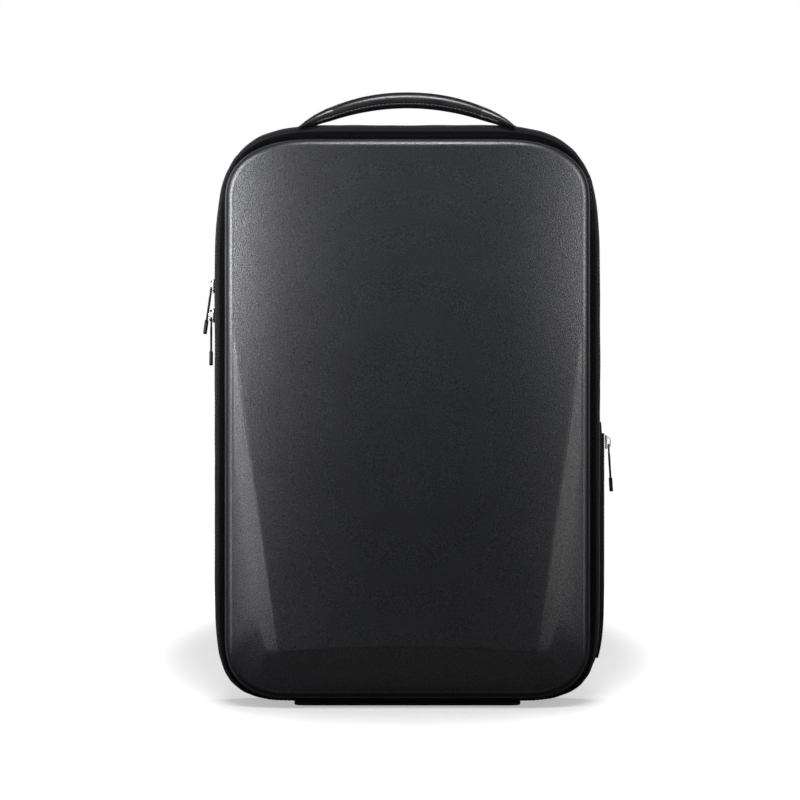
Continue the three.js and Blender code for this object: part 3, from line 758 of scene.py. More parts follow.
def evenly(path: Array, pitch: float, is_closed: bool) -> tuple[Array, Array]:
    """Spaces places evenly along a line of points.

    Args:
        path: The line's points.
        pitch: Distance between places.
        is_closed: True where the line closes on itself.

    Returns:
        The places, and the line's direction at each.
    """
    line = np.vstack([path, path[:1]]) if is_closed else path
    lengths = np.concatenate([[0.0], np.cumsum(np.linalg.norm(np.diff(line, axis=0), axis=1))])
    count = max(int(lengths[-1] / pitch), 2)
    wanted = (np.arange(count) + 0.5) * lengths[-1] / count
    places = np.stack([np.interp(wanted, lengths, line[:, i]) for i in range(3)], axis=1)
    near = pitch * 0.2
    ahead = np.stack([np.interp(wanted + near, lengths, line[:, i]) for i in range(3)], axis=1)
    behind = np.stack([np.interp(wanted - near, lengths, line[:, i]) for i in range(3)], axis=1)
    return places, unit(ahead - behind)


def nearest(path: Array, places: Array) -> Array:
    """Returns the index of the path's nearest point to each place."""
    return np.argmin(np.linalg.norm(path[None] - places[:, None], axis=2), axis=1)


def add_piece(
    name: str,
    patch: Patch,
    finish: Finish,
    body: str = BAG,
    replaces: Sequence[str] = (),
    sharp_degrees: float = 35.0,
) -> bpy.types.Object:
    """Makes a visible piece of the backpack from a patch.

    Args:
        name: The piece's name.
        patch: Its mesh in metres.
        finish: Its finish.
        body: The moving body that it rides on.
        replaces: The solid nodes that it stands for.
        sharp_degrees: Edges that fold more than this stay sharp.

    Returns:
        The new object.
    """
    mesh = bpy.data.meshes.new(name)
    mesh.from_pydata(patch.points.tolist(), [], patch.faces)
    if patch.uvs:
        layer = mesh.uv_layers.new(name=CLOTH_UV)
        layer.data.foreach_set("uv", np.array(patch.uvs, dtype=np.float32).ravel())
    mesh.polygons.foreach_set("use_smooth", [True] * len(mesh.polygons))
    mesh.set_sharp_from_angle(angle=math.radians(sharp_degrees))
    mesh.materials.append(finish.material())
    piece = bpy.data.objects.new(name, mesh)
    bpy.context.scene.collection.objects.link(piece)
    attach(piece, body)
    if replaces:
        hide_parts(*replaces)
    LOG.info("%s: %d faces on %s", name, len(mesh.polygons), body)
    return piece


def flat_plate(outlines: Sequence[Sequence[tuple[float, float]]], thickness: float, bevel: float) -> Patch:
    """Makes a plate with rounded edges.

    Args:
        outlines: The outer outline and then its holes, in millimetres.
        thickness: Full thickness in millimetres.
        bevel: Radius of the rounded edges in millimetres.

    Returns:
        The plate, drawn in X and Y with its thickness along Z.
    """
    curve = bpy.data.curves.new("plate_outline", "CURVE")
    curve.dimensions = "2D"
    curve.fill_mode = "BOTH"
    curve.extrude = (thickness / 2 - bevel) * MM
    curve.bevel_depth = bevel * MM
    curve.bevel_resolution = 2
    curve.offset = -bevel * MM
    for outline in outlines:
        spline = curve.splines.new("POLY")
        spline.points.add(len(outline) - 1)
        for point, (x, y) in zip(spline.points, outline):
            point.co = (x * MM, y * MM, 0, 1)
        spline.use_cyclic_u = True
    holder = bpy.data.objects.new("plate_holder", curve)
    mesh = bpy.data.meshes.new_from_object(holder)
    points = np.array([tuple(v.co) for v in mesh.vertices])
    keys: dict[tuple[int, ...], int] = {}
    merged = [keys.setdefault(tuple(np.round(p * 1e7).astype(int)), len(keys)) for p in points]
    kept = np.zeros((len(keys), 3))
    for i, new in enumerate(merged):
        kept[new] = points[i]
    faces = [tuple(dict.fromkeys(merged[i] for i in polygon.vertices)) for polygon in mesh.polygons]
    faces = [face for face in faces if len(face) > 2]
    bpy.data.objects.remove(holder)
    bpy.data.curves.remove(curve)
    bpy.data.meshes.remove(mesh)
    return Patch(kept, faces, [(float(kept[i][0]), float(kept[i][1])) for face in faces for i in face])


def rounded_box(width: float, height: float, radius: float, steps: int = 6) -> list[tuple[float, float]]:
    """Draws a rectangle with round corners.

    Args:
        width: Full width in millimetres.
        height: Full height in millimetres.
        radius: Radius of the corners in millimetres.
        steps: Straight pieces in each corner.

    Returns:
        The outline's points, centred on the origin.
    """
    points = []
    for turn, (sx, sy) in enumerate(((1, 1), (-1, 1), (-1, -1), (1, -1))):
        for i in range(steps + 1):
            angle = math.pi / 2 * (turn + i / steps)
            points.append(
                (
                    sx * (width / 2 - radius) + radius * math.cos(angle),
                    sy * (height / 2 - radius) + radius * math.sin(angle),
                )
            )
    return points


def moved(patch: Patch, matrix: Matrix) -> Patch:
    """Returns a patch moved by a matrix."""
    rows = np.array(matrix)
    return Patch(patch.points @ rows[:3, :3].T + rows[:3, 3], patch.faces, patch.uvs)


# The form that the shell and the fabric walls share


@dataclass(frozen=True)
class Corner:
    """A rounded corner: its run across, its rise and the power of its curve."""

    run: float
    rise: float
    power: float


@dataclass(frozen=True)
class Outline:
    """A rounded outline seen from the front, in metres."""

    half_width: float
    bottom: float
    top: float
    upper: Corner
    lower: Corner

    @staticmethod
    def from_node(node: str, upper: Corner, lower: Corner) -> "Outline":
        """Reads a solid node's outline.

        Args:
            node: The node.
            upper: Its upper corners, run as a share of half its width and rise as a share of its height.
            lower: Its lower corners, given in the same way.

        Returns:
            The outline in metres.
        """
        low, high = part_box(node)
        half, height = high.x, high.z - low.z
        sized = [Corner(c.run * half, c.rise * height, c.power) for c in (upper, lower)]
        return Outline(half, low.z, high.z, *sized)

    def inset(self, distance: float) -> "Outline":
        """Returns the outline moved inwards; a negative distance grows it."""
        sized = [Corner(c.run - distance, c.rise - distance, c.power) for c in (self.upper, self.lower)]
        return Outline(self.half_width - distance, self.bottom + distance, self.top - distance, *sized)

    def holds(self, x: Array, z: Array) -> Array:
        """Tells which points lie within the outline.

        Args:
            x: The points' places across.
            z: Their heights.

        Returns:
            True for each point that lies within it.
        """
        is_upper = z > (self.top + self.bottom) / 2
        run = np.where(is_upper, self.upper.run, self.lower.run)
        rise = np.where(is_upper, self.upper.rise, self.lower.rise)
        power = np.where(is_upper, self.upper.power, self.lower.power)
        across = np.abs(x) - (self.half_width - run)
        along = np.where(is_upper, z - (self.top - rise), self.bottom + rise - z)
        reach = np.clip(across / run, 0, None) ** power + np.clip(along / rise, 0, None) ** power
        return (across <= run) & (along <= rise) & (reach <= 1)

    def half_width_at(self, z: float) -> float:
        """Measures the outline at a height.

        Args:
            z: The height.

        Returns:
            Half the outline's width there.
        """
        is_upper = z > (self.top + self.bottom) / 2
        corner = self.upper if is_upper else self.lower
        along = z - (self.top - corner.rise) if is_upper else self.bottom + corner.rise - z
        share = min(max(along / corner.rise, 0), 1)
        return self.half_width - corner.run + corner.run * (1 - share**corner.power) ** (1 / corner.power)


class Form:
    """The outlines of the shell and the body, and the rings that run round between them."""

    BOTTOM_RUN, CORNER, SIDE, TOP_RUN = 14, 36, 56, 14

    def __init__(self) -> None:
        """Reads both outlines from the solid model and picks the directions that all rings share."""
        self.shell = Outline.from_node("front_shell", Corner(0.485, 0.109, 2.4), Corner(0.36, 0.107, 2.4))
        self.body = Outline.from_node("gusset_rear", Corner(0.717, 0.295, 3.6), Corner(0.63, 0.267, 4.9))
        self.centre_z = (self.shell.top + self.shell.bottom) / 2
        self.directions = self._directions()

    def _directions(self) -> Array:
        """Picks directions that fall closest together at the shell's corners.

        Returns:
            Unit directions from the middle of the front, once round from the bottom.
        """
        s = self.shell
        half: list[tuple[float, float]] = []
        for i in range(self.BOTTOM_RUN):
            half.append(((s.half_width - s.lower.run) * i / self.BOTTOM_RUN, s.bottom))
        for i in range(self.CORNER):
            angle = math.pi / 2 * i / self.CORNER
            across = math.sin(angle) ** (2 / s.lower.power)
            along = math.cos(angle) ** (2 / s.lower.power)
            half.append((s.half_width - s.lower.run * (1 - across), s.bottom + s.lower.rise * (1 - along)))
        foot, head = s.bottom + s.lower.rise, s.top - s.upper.rise
        for i in range(self.SIDE):
            half.append((s.half_width, foot + (head - foot) * i / self.SIDE))
        for i in range(self.CORNER):
            angle = math.pi / 2 * i / self.CORNER
            across = math.cos(angle) ** (2 / s.upper.power)
            along = math.sin(angle) ** (2 / s.upper.power)
            half.append((s.half_width - s.upper.run * (1 - across), s.top - s.upper.rise * (1 - along)))
        for i in range(self.TOP_RUN + 1):
            half.append(((s.half_width - s.upper.run) * (self.TOP_RUN - i) / self.TOP_RUN, s.top))
        whole = half + [(-x, z) for x, z in half[-2:0:-1]]
        return unit(np.array([(x, z - self.centre_z) for x, z in whole]))

    def reaches(self, holds: Callable[[Array, Array], Array], directions: Array | None = None) -> Array:
        """Measures a shape by halving the distance to its edge again and again.

        Args:
            holds: Tells which points lie within the shape.
            directions: The directions to measure in; the shared ones if none are given.

        Returns:
            How far the shape reaches from the middle of the front in each direction.
        """
        ways = self.directions if directions is None else directions
        low = np.zeros(len(ways))
        high = np.full(len(ways), 1.0)
        for _ in range(30):
            middle = (low + high) / 2
            inside = holds(ways[:, 0] * middle, self.centre_z + ways[:, 1] * middle)
            low, high = np.where(inside, middle, low), np.where(inside, high, middle)
        return low

    def ring_at(self, reach: Array, y: Array | float | Callable[[Array, Array], Array]) -> Array:
        """Makes a ring in the shared directions.

        Args:
            reach: Distance from the middle of the front in each direction.
            y: Depth of the ring, or a function that gives it from x and z.

        Returns:
            The ring's points.
        """
        x = self.directions[:, 0] * reach
        z = self.centre_z + self.directions[:, 1] * reach
        depth = y(x, z) if callable(y) else np.broadcast_to(y, x.shape)
        return np.stack([x, depth, z], axis=1)

    def ring(self, share: float, inset: float, y: float, ripple: Array | float = 0.0) -> Array:
        """Makes a ring between the shell's outline and the body's.

        Args:
            share: 0 at the shell's outline and 1 at the body's.
            inset: How far it lies inside the outlines.
            y: Its depth.
            ripple: What it adds to the reach in each direction.

        Returns:
            The ring's points.
        """
        inner = self.reaches(self.shell.inset(inset).holds)
        outer = self.reaches(self.body.inset(inset).holds)
        return self.ring_at(inner + (outer - inner) * share + ripple, y)

    def outward(self, places: Array) -> Array:
        """Points out of the body.

        Args:
            places: Points on the body.

        Returns:
            The direction from the middle of the front to each point, seen from the front.
        """
        lean = places - np.array([0.0, 0.0, self.centre_z])
        lean[:, 1] = 0
        return unit(lean)

    def ripple(self, depth: float, waves: Sequence[tuple[float, float]]) -> Array:
        """Returns a slow ripple round a ring: depth in metres, and turns and phase of each wave."""
        turn = np.linspace(0, 2 * np.pi, len(self.directions), endpoint=False)
        return depth * sum(np.sin(turns * turn + phase) for turns, phase in waves) / len(waves)


def stitch_row(
    name: str,
    path: Array,
    out: Array,
    finish: Finish,
    is_closed: bool,
    pitch: float = 3.2,
    length: float = 2.3,
    width: float = 0.6,
) -> bpy.types.Object:
    """Adds a row of stitches along a line of points.

    Args:
        name: The row's name.
        path: The line in metres.
        out: Outward direction at each of the line's points.
        finish: The thread's finish.
        is_closed: True where the line closes on itself.
        pitch: Distance between stitches in millimetres.
        length: Length of a stitch in millimetres.
        width: Thickness of the thread in millimetres.

    Returns:
        The new object.
    """
    places, along = evenly(path, pitch * MM, is_closed)
    facing = out[nearest(path, places)]
    facing = unit(facing - along * np.sum(facing * along, axis=1, keepdims=True))
    thread = capsule(length * MM, width * MM, width * MM)
    return add_piece(name, stamped(thread, places, along, facing), finish)


# Sub-assemblies


@dataclass
class FrontShell:
    """The moulded shell: a raised panel, two side facets, a lower facet and rounded edges. Sizes in mm."""

    form: Form
    wall: float = 3.0
    edge_radius: float = 5.5
    draft: float = 1.6
    crown_across: float = 8.0
    crown_power: float = 3.0
    crown_up: float = 3.5
    panel_foot_width: float = 198.0
    panel_foot_height: float = 42.5
    panel_foot_arch: float = 4.8
    panel_foot_corner: float = 9.0
    crease_top_height: float = 308.0
    side_facet_degrees: float = 10.0
    lower_facet_degrees: float = 22.0
    facet_curl: float = 0.0045
    step: float = 0.6
    step_run: float = 1.1
    step_fade: float = 12.0
    fold: float = 0.5
    fold_spread: float = 0.12
    # Least width of a facet, and how close the first rings keep to the crease on a wide one
    facet_least: float = 3.0
    crease_share: float = 0.4
    crease_reach: float = 12.0
    rim_tuck: float = 0.3

    # Rings about the panel's edge in mm, and then over the facet and down the wall, as shares of each
    CREASE_SHIFTS = (-1.6, -0.7, -0.15, 0.0)
    FACET_SHARES = (0.02, 0.045, 0.07, 0.1, 0.14, 0.19, 0.25, 0.33, 0.42, 0.52, 0.62, 0.72, 0.82, 0.91)
    WALL_SHARES = (0.2, 0.4, 0.6, 0.8, 0.97)

    def __post_init__(self) -> None:
        """Reads where the shell's front and rim lie."""
        low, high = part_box("front_shell")
        self.rim_y = high.y
        self.front_y = low.y

    def past_creases(self, x: Array, z: Array) -> tuple[Array, Array, Array]:
        """Measures how far points lie outside the raised panel.

        Args:
            x: The points' places across.
            z: Their heights.

        Returns:
            Their distances past the side crease, the foot crease and the panel's rounded edge.
        """
        s = self.form.shell
        foot = s.bottom + self.panel_foot_height * MM
        head = s.bottom + self.crease_top_height * MM
        foot_half = self.panel_foot_width * MM / 2
        head_half = s.half_width - self.edge_radius * MM / 2
        side = np.abs(x) - foot_half - (head_half - foot_half) * (z - foot) / (head - foot)
        below = foot - self.panel_foot_arch * MM * (x / foot_half) ** 2 - z
        corner = self.panel_foot_corner * MM
        edge = np.hypot(np.clip(side + corner, 0, None), np.clip(below + corner, 0, None)) - corner
        return side, below, edge

    def face_y(self, x: Array, z: Array) -> Array:
        """Shapes the shell's front: crowned both ways, and falling away past the panel's creases.

        Args:
            x: The points' places across.
            z: Their heights.

        Returns:
            The front's depth at each point.
        """
        s = self.form.shell
        across = self.crown_across * MM * np.abs(x / s.half_width) ** self.crown_power
        up = self.crown_up * MM * ((z - self.form.centre_z) / (s.top - self.form.centre_z)) ** 2
        side, below, edge = self.past_creases(x, z)

        def ramp(past: Array, other: Array) -> Array:
            """Returns a distance that starts crisply along the panel and softly away from it."""
            softness = self.fold * MM + self.fold_spread * np.clip(other, 0, None)
            return softness * np.logaddexp(0, past / softness)

        fall = ramp(side, below) * math.tan(math.radians(self.side_facet_degrees))
        low = ramp(below, side)
        fall += low * math.tan(math.radians(self.lower_facet_degrees)) + self.facet_curl / MM * low**2
        width = s.half_width - self.edge_radius * MM - (np.abs(x) - side)
        strength = np.where(below > 0, 1.0, np.clip(width / (self.step_fade * MM), 0, 1))
        step = self.step * MM * strength * blend(edge / (self.step_run * MM))
        return self.front_y + across + up + fall + step

    def inner_y(self, x: Array, z: Array) -> Array:
        """Returns the depth of the shell's inner face at points."""
        return self.face_y(x, z) + self.wall * MM

    def rings(self) -> list[Array]:
        """Lays rings over the whole shell.

        Returns:
            The rings, from the middle of its face over its rim to the middle of its inner face.
        """
        form = self.form
        inset = (self.draft + self.edge_radius) * MM
        edge = form.reaches(form.shell.inset(inset).holds)
        crease = form.reaches(lambda x, z: self.past_creases(x, z)[2] < 0)
        panel = np.minimum(edge - self.facet_least * MM, crease)
        rings = [form.ring_at(panel * share, self.face_y) for share in np.linspace(0.02, 0.96, 26)]
        for shift in self.CREASE_SHIFTS:
            rings.append(form.ring_at(panel + shift * MM, self.face_y))
        width = edge - panel
        for share in self.FACET_SHARES:
            close = np.maximum(width * share * self.crease_share, share * self.crease_reach * MM)
            rings.append(form.ring_at(panel + np.minimum(width * share, close), self.face_y))
        rings.append(form.ring_at(panel + width, self.face_y))
        edge_y = rings[-1][:, 1]
        for degrees in range(9, 91, 9):
            angle = math.radians(degrees)
            inset = (self.draft + self.edge_radius * (1 - math.sin(angle))) * MM
            y = edge_y + self.edge_radius * MM * (1 - math.cos(angle))
            rings.append(form.ring_at(form.reaches(form.shell.inset(inset).holds), y))
        top_y = rings[-1][:, 1]
        for share in self.WALL_SHARES:
            reach = form.reaches(form.shell.inset(self.draft * MM * (1 - share)).holds)
            rings.append(form.ring_at(reach, top_y + (self.rim_y - top_y) * share))
        for inset in (self.rim_tuck, self.wall):
            rings.append(form.ring_at(form.reaches(form.shell.inset(inset * MM).holds), self.rim_y))
        shoulder = (self.draft + self.wall) * MM
        reach = form.reaches(form.shell.inset(shoulder).holds)
        rings.append(form.ring_at(reach, edge_y + (self.edge_radius + self.wall / 2) * MM))
        rings.append(form.ring_at(edge, self.inner_y))
        rings += [form.ring_at(panel * share, self.inner_y) for share in (0.98, 0.75, 0.5, 0.25)]
        return rings

    def build(self) -> None:
        """Builds the shell."""
        add_piece("shell_film", loft(self.rings()), SHELL_FILM, replaces=["front_shell"])


@dataclass
class ShellPiping:
    """The bead sewn round the shell's rim. Sizes in mm."""

    form: Form
    radius: float = 1.3
    sides: int = 14

    def build(self) -> None:
        """Builds the bead."""
        low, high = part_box("shell_piping")
        middle = (low.y + high.y) / 2
        rings = []
        for angle in np.linspace(0, 2 * np.pi, self.sides, endpoint=False):
            lift = self.radius * MM * math.cos(angle)
            rings.append(self.form.ring(0.0, -lift, middle + self.radius * MM * math.sin(angle)))
        add_piece("rim_piping", loft(rings, is_loop=True), PIPING_COAT, replaces=["shell_piping"])


@dataclass
class ZipTeeth:
    """One zip's coil: small rounded turns along a line. Sizes in mm."""

    pitch: float = 1.5
    width: float = 3.2
    thread: float = 1.0
    height: float = 0.9
    slant: float = 0.18

    def build(self, name: str, node: str, path: Array, across: Array, out: Array, is_closed: bool) -> None:
        """Lays the turns along a path.

        Args:
            name: The piece's name.
            node: The solid node that it stands for.
            path: The coil's middle line in metres.
            across: Direction across the tape at each point of the line.
            out: Outward direction at each point of the line.
            is_closed: True where the line closes on itself.
        """
        places, along = evenly(path, self.pitch * MM, is_closed)
        near = nearest(path, places)
        sideways = unit(across[near] - along * np.sum(across[near] * along, axis=1, keepdims=True))
        slant = unit(sideways + along * self.slant)
        facing = unit(out[near] - slant * np.sum(out[near] * slant, axis=1, keepdims=True))
        turn = capsule(self.width * MM, self.thread * MM, self.height * MM)
        add_piece(name, stamped(turn, places, slant, facing), ZIP_COIL_PAINTED_SHADE, replaces=[node])


@dataclass
class FrontZip:
    """The zip between the shell's piping and the gusset. Sizes in mm."""

    form: Form
    inner_share: float = 0.02
    seam_share: float = 0.5
    thickness: float = 1.0
    hollow: float = 0.6
    rows: int = 9
    coil_lift: float = 0.75

    def at(self, share: float) -> tuple[float, float]:
        """Finds a place across the tape.

        Args:
            share: 0 at the shell's piping and 1 at the gusset's seam.

        Returns:
            The place's share between the outlines and its depth.
        """
        low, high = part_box("front_zip_tape")
        ring_share = self.inner_share + (self.seam_share - self.inner_share) * share
        return ring_share, low.y + (high.y - low.y) * share

    def surface(self, share: float, lift: float) -> Array:
        """Makes a ring along the tape.

        Args:
            share: Place across the tape.
            lift: How far the ring stands proud of the tape's face, in metres.

        Returns:
            The ring's points.
        """
        ring_share, y = self.at(share)
        dip = self.hollow * MM * math.sin(math.pi * share)
        return self.form.ring(ring_share, dip - lift, y)

    def build(self) -> None:
        """Builds the tape and its coil."""
        shares = np.linspace(0, 1, self.rows)
        face = [self.surface(share, 0.0) for share in shares]
        inside = [self.surface(share, -self.thickness * MM) for share in shares[::-1]]
        add_piece("front_tape", loft(face + inside, is_loop=True), ZIP_TAPE_PAINTED_SHADE, replaces=["front_zip_tape"])
        path = self.surface(0.5, self.coil_lift * MM)
        across = unit(self.surface(0.7, 0.0) - self.surface(0.3, 0.0))
        tangent = unit(np.roll(path, -1, axis=0) - np.roll(path, 1, axis=0))
        out = np.cross(across, tangent)
        out *= np.sign(np.sum(out * self.form.outward(path), axis=1, keepdims=True))
        ZipTeeth().build("front_coil", "front_zip_coil", path, across, out, True)


@dataclass
class Gussets:
    """The fabric walls before and behind the main zip. Sizes in mm."""

    form: Form
    wall: float = 2.5
    seam_share: float = 0.5
    front_share: float = 0.86
    main_share: float = 0.85
    fold: float = 11.0
    pucker: float = 0.35
    tuck: float = 0.6

    # How the front gusset turns in: its share from seam to full width, and its depth as a share of the fold
    PROFILE = ((0.0, 0.0), (0.3, 0.06), (0.55, 0.2), (0.74, 0.36), (0.88, 0.58), (0.97, 0.82), (1.0, 1.0))
    # How the rear gusset rounds off beside the main zip, in the same way over its wall
    REAR_PROFILE = ((0.0, 0.0), (0.35, 0.12), (0.7, 0.4), (0.92, 0.72), (1.0, 1.0))

    # Rings over the flat of each gusset, as shares of the way back
    FRONT_PLACES = (0.25, 0.5, 0.75, 0.93)
    REAR_PLACES = (0.12, 0.3, 0.5, 0.7, 0.88, 1.0)

    # Slack in each gusset: the turns and the phase of each slow wave
    FRONT_WAVES = ((9, 0.4), (17, 1.9), (31, 0.7), (53, 2.6))
    REAR_WAVES = ((7, 2.0), (19, 0.3), (37, 1.1))

    def front_rings(self, inset: float, ripple: Array | float) -> list[Array]:
        """Lays rings over the front gusset.

        Args:
            inset: How far the rings lie inside the cloth's face, in metres.
            ripple: The cloth's slack in each direction.

        Returns:
            The rings, from its seam back to the main zip.
        """
        low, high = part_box("gusset_front")
        table = smooth_path(np.array(self.PROFILE), 16)
        rings = []
        for share, depth in table:
            ring_share = self.seam_share + (self.front_share - self.seam_share) * share
            rings.append(self.form.ring(ring_share, inset, low.y + self.fold * MM * depth, ripple * share))
        start = low.y + self.fold * MM
        for place in self.FRONT_PLACES:
            rings.append(self.form.ring(self.front_share, inset, start + (high.y - start) * place, ripple))
        rings.append(self.form.ring(self.front_share, inset + self.tuck * MM, high.y))
        return rings

    def rear_rings(self, inset: float, ripple: Array | float) -> list[Array]:
        """Lays rings over the rear gusset.

        Args:
            inset: How far the rings lie inside the cloth's face, in metres.
            ripple: The cloth's slack in each direction.

        Returns:
            The rings, from the main zip back to the back panel's seam.
        """
        low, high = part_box("gusset_rear")
        rings = []
        for share, depth in self.REAR_PROFILE:
            ring_share = self.main_share + (1 - self.main_share) * share
            rings.append(self.form.ring(ring_share, inset, low.y + self.wall * MM * depth, ripple * share))
        start = low.y + self.wall * MM
        for place in self.REAR_PLACES:
            y = start + (high.y - start) * place
            rings.append(self.form.ring(1.0, inset, y, ripple * (1 - place**4)))
        return rings

    def build(self) -> None:
        """Builds both gussets and their topstitching."""
        form = self.form
        front = self.front_rings(0.0, form.ripple(self.pucker * MM, self.FRONT_WAVES))
        walls = front + self.front_rings(self.wall * MM, 0.0)[::-1]
        piece = add_piece("front_gusset", loft(walls, is_loop=True), GUSSET_CLOTH, replaces=["gusset_front"])
        rear = self.rear_rings(0.0, form.ripple(self.pucker * MM, self.REAR_WAVES))
        walls = rear + self.rear_rings(self.wall * MM, 0.0)[::-1]
        piece = add_piece("rear_gusset", loft(walls, is_loop=True), GUSSET_CLOTH, replaces=["gusset_rear"])
        # Topstitching beside the seam and along both sides of the main zip
        for name, ring in (
            ("seam_stitches", front[6]),
            ("front_zip_stitches", front[-3]),
            ("rear_zip_stitches", rear[5]),
        ):
            stitch_row(name, ring, form.outward(ring), THREAD_GUSSET, True)


@dataclass
class MainZip:
    """The main zip up both sides and over the top, and the fabric band below it. Sizes in mm."""

    form: Form
    share: float = 0.85
    wall: float = 2.5
    thickness: float = 1.0
    coil_lift: float = 0.7
    coil_margin: int = 2

    # A section's corners in turn, and the steps from each to the next
    CORNERS = ((0, 1, 6), (1, 2, 1), (2, 3, 6), (3, 0, 1))

    def section(self, indices: Array, start: float, end: float, lift: float, thickness: float) -> Patch:
        """Makes a strip along some of the shared directions.

        Args:
            indices: The directions, in order.
            start: Depth of its front edge.
            end: Depth of its rear edge.
            lift: Height of its underside above the body.
            thickness: Its thickness.

        Returns:
            The strip, lofted from its cross sections.
        """
        corners = [
            self.form.ring(self.share, -lift - thickness, start),
            self.form.ring(self.share, -lift - thickness, end),
            self.form.ring(self.share, -lift, end),
            self.form.ring(self.share, -lift, start),
        ]
        sections = []
        for i in indices:
            ring = []
            for a, b, steps in self.CORNERS:
                for t in range(steps):
                    ring.append(corners[a][i] + (corners[b][i] - corners[a][i]) * t / steps)
            sections.append(np.array(ring))
        return loft(sections)

    def build(self) -> None:
        """Builds the tape, the coil and the band."""
        form = self.form
        count = len(form.directions)
        low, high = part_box("main_zip_tape")
        foot = form.BOTTOM_RUN + form.CORNER
        upper = np.arange(foot, count - foot + 1)
        lower = np.arange(-foot, foot + 1)
        t = self.thickness * MM
        strip = self.section(upper, low.y, high.y, -t, t)
        add_piece("main_tape", strip, ZIP_TAPE_PAINTED_SHADE, replaces=["main_zip_tape"])
        band = self.section(lower, low.y, high.y, -self.wall * MM, self.wall * MM)
        add_piece("bottom_band", band, GUSSET_CLOTH, replaces=["gusset_bottom"])
        between = upper[self.coil_margin : -self.coil_margin]
        path = form.ring(self.share, -self.coil_lift * MM, (low.y + high.y) / 2)[between]
        across = backwards(len(path))
        ZipTeeth().build("main_coil", "main_zip_coil", path, across, form.outward(path), False)


@dataclass
class BackPanel:
    """The padded panel on the wearer's side, with channels sewn between its pads. Sizes in mm."""

    form: Form
    channel: float = 3.2
    channel_width: float = 9.0
    spine: float = 24.0
    waist: float = 0.36
    rows: int = 64
    stitch_inset: float = 0.9

    # The panel's edge: inset as a multiple of its thickness, depth as a share of it
    EDGE = ((0.12, 0.0), (0.0, 0.25), (0.06, 0.5), (0.3, 0.82), (0.8, 0.97), (1.4, 1.0))

    def groove(self, x: Array, z: Array) -> Array:
        """Draws the sewn channels: one along each side of the spine, and one across the waist.

        Args:
            x: The points' places across.
            z: Their heights.

        Returns:
            How deep the channels are at each point, from 0 to 1.
        """
        body = self.form.body
        waist_z = body.bottom + (body.top - body.bottom) * self.waist
        from_spine = np.abs(np.abs(x) - self.spine * MM / 2) + np.where(z < waist_z, 1.0, 0.0)
        from_waist = np.abs(z - waist_z)
        return blend(1 - np.minimum(from_spine, from_waist) / (self.channel_width * MM / 2))

    def face_y(self, x: Array, z: Array) -> Array:
        """Returns the depth of the panel's face at points."""
        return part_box("back_panel")[1].y - self.channel * MM * self.groove(x, z)

    def build(self) -> None:
        """Builds the panel with its channels, and the stitches round its edge."""
        low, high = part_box("back_panel")
        thickness = high.y - low.y
        table = smooth_path(np.array(self.EDGE), 22)
        rings = []
        for inset, depth in table:
            rings.append(self.form.ring(1.0, max(inset, 0) * thickness, low.y + thickness * min(depth, 1.0)))
        reach = self.form.reaches(self.form.body.inset(self.EDGE[-1][0] * thickness).holds)
        shares = np.linspace(0.985, 0.01, self.rows)
        rings += [self.form.ring_at(reach * share, self.face_y) for share in shares]
        patch = loft(rings)
        # Seen from behind, the mesh's rows run straight across and up
        flat = [tuple(point) for point in patch.points[:, [0, 2]].tolist()]
        patch.uvs = [flat[i] for face in patch.faces for i in face]
        piece = add_piece("back_padding", patch, BACK_MESH, replaces=["back_panel"])
        ring = self.form.ring(1.0, thickness * self.stitch_inset, high.y)
        stitch_row("back_edge_stitches", ring, backwards(len(ring)), THREAD_GUSSET, True)


@dataclass
class BaseStrip:
    """The coated strip that the backpack stands on. Sizes in mm."""

    corner: float = 9.0
    bevel: float = 1.2

    def build(self) -> None:
        """Builds the strip with rounded edges."""
        low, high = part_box("base_strip")
        size = (high - low) / MM
        plate = flat_plate([rounded_box(size.x, size.y, self.corner, 10)], size.z, self.bevel)
        placed = moved(plate, Matrix.Translation((low + high) / 2))
        add_piece("base_foot", placed, BASE_COAT, replaces=["base_strip"])


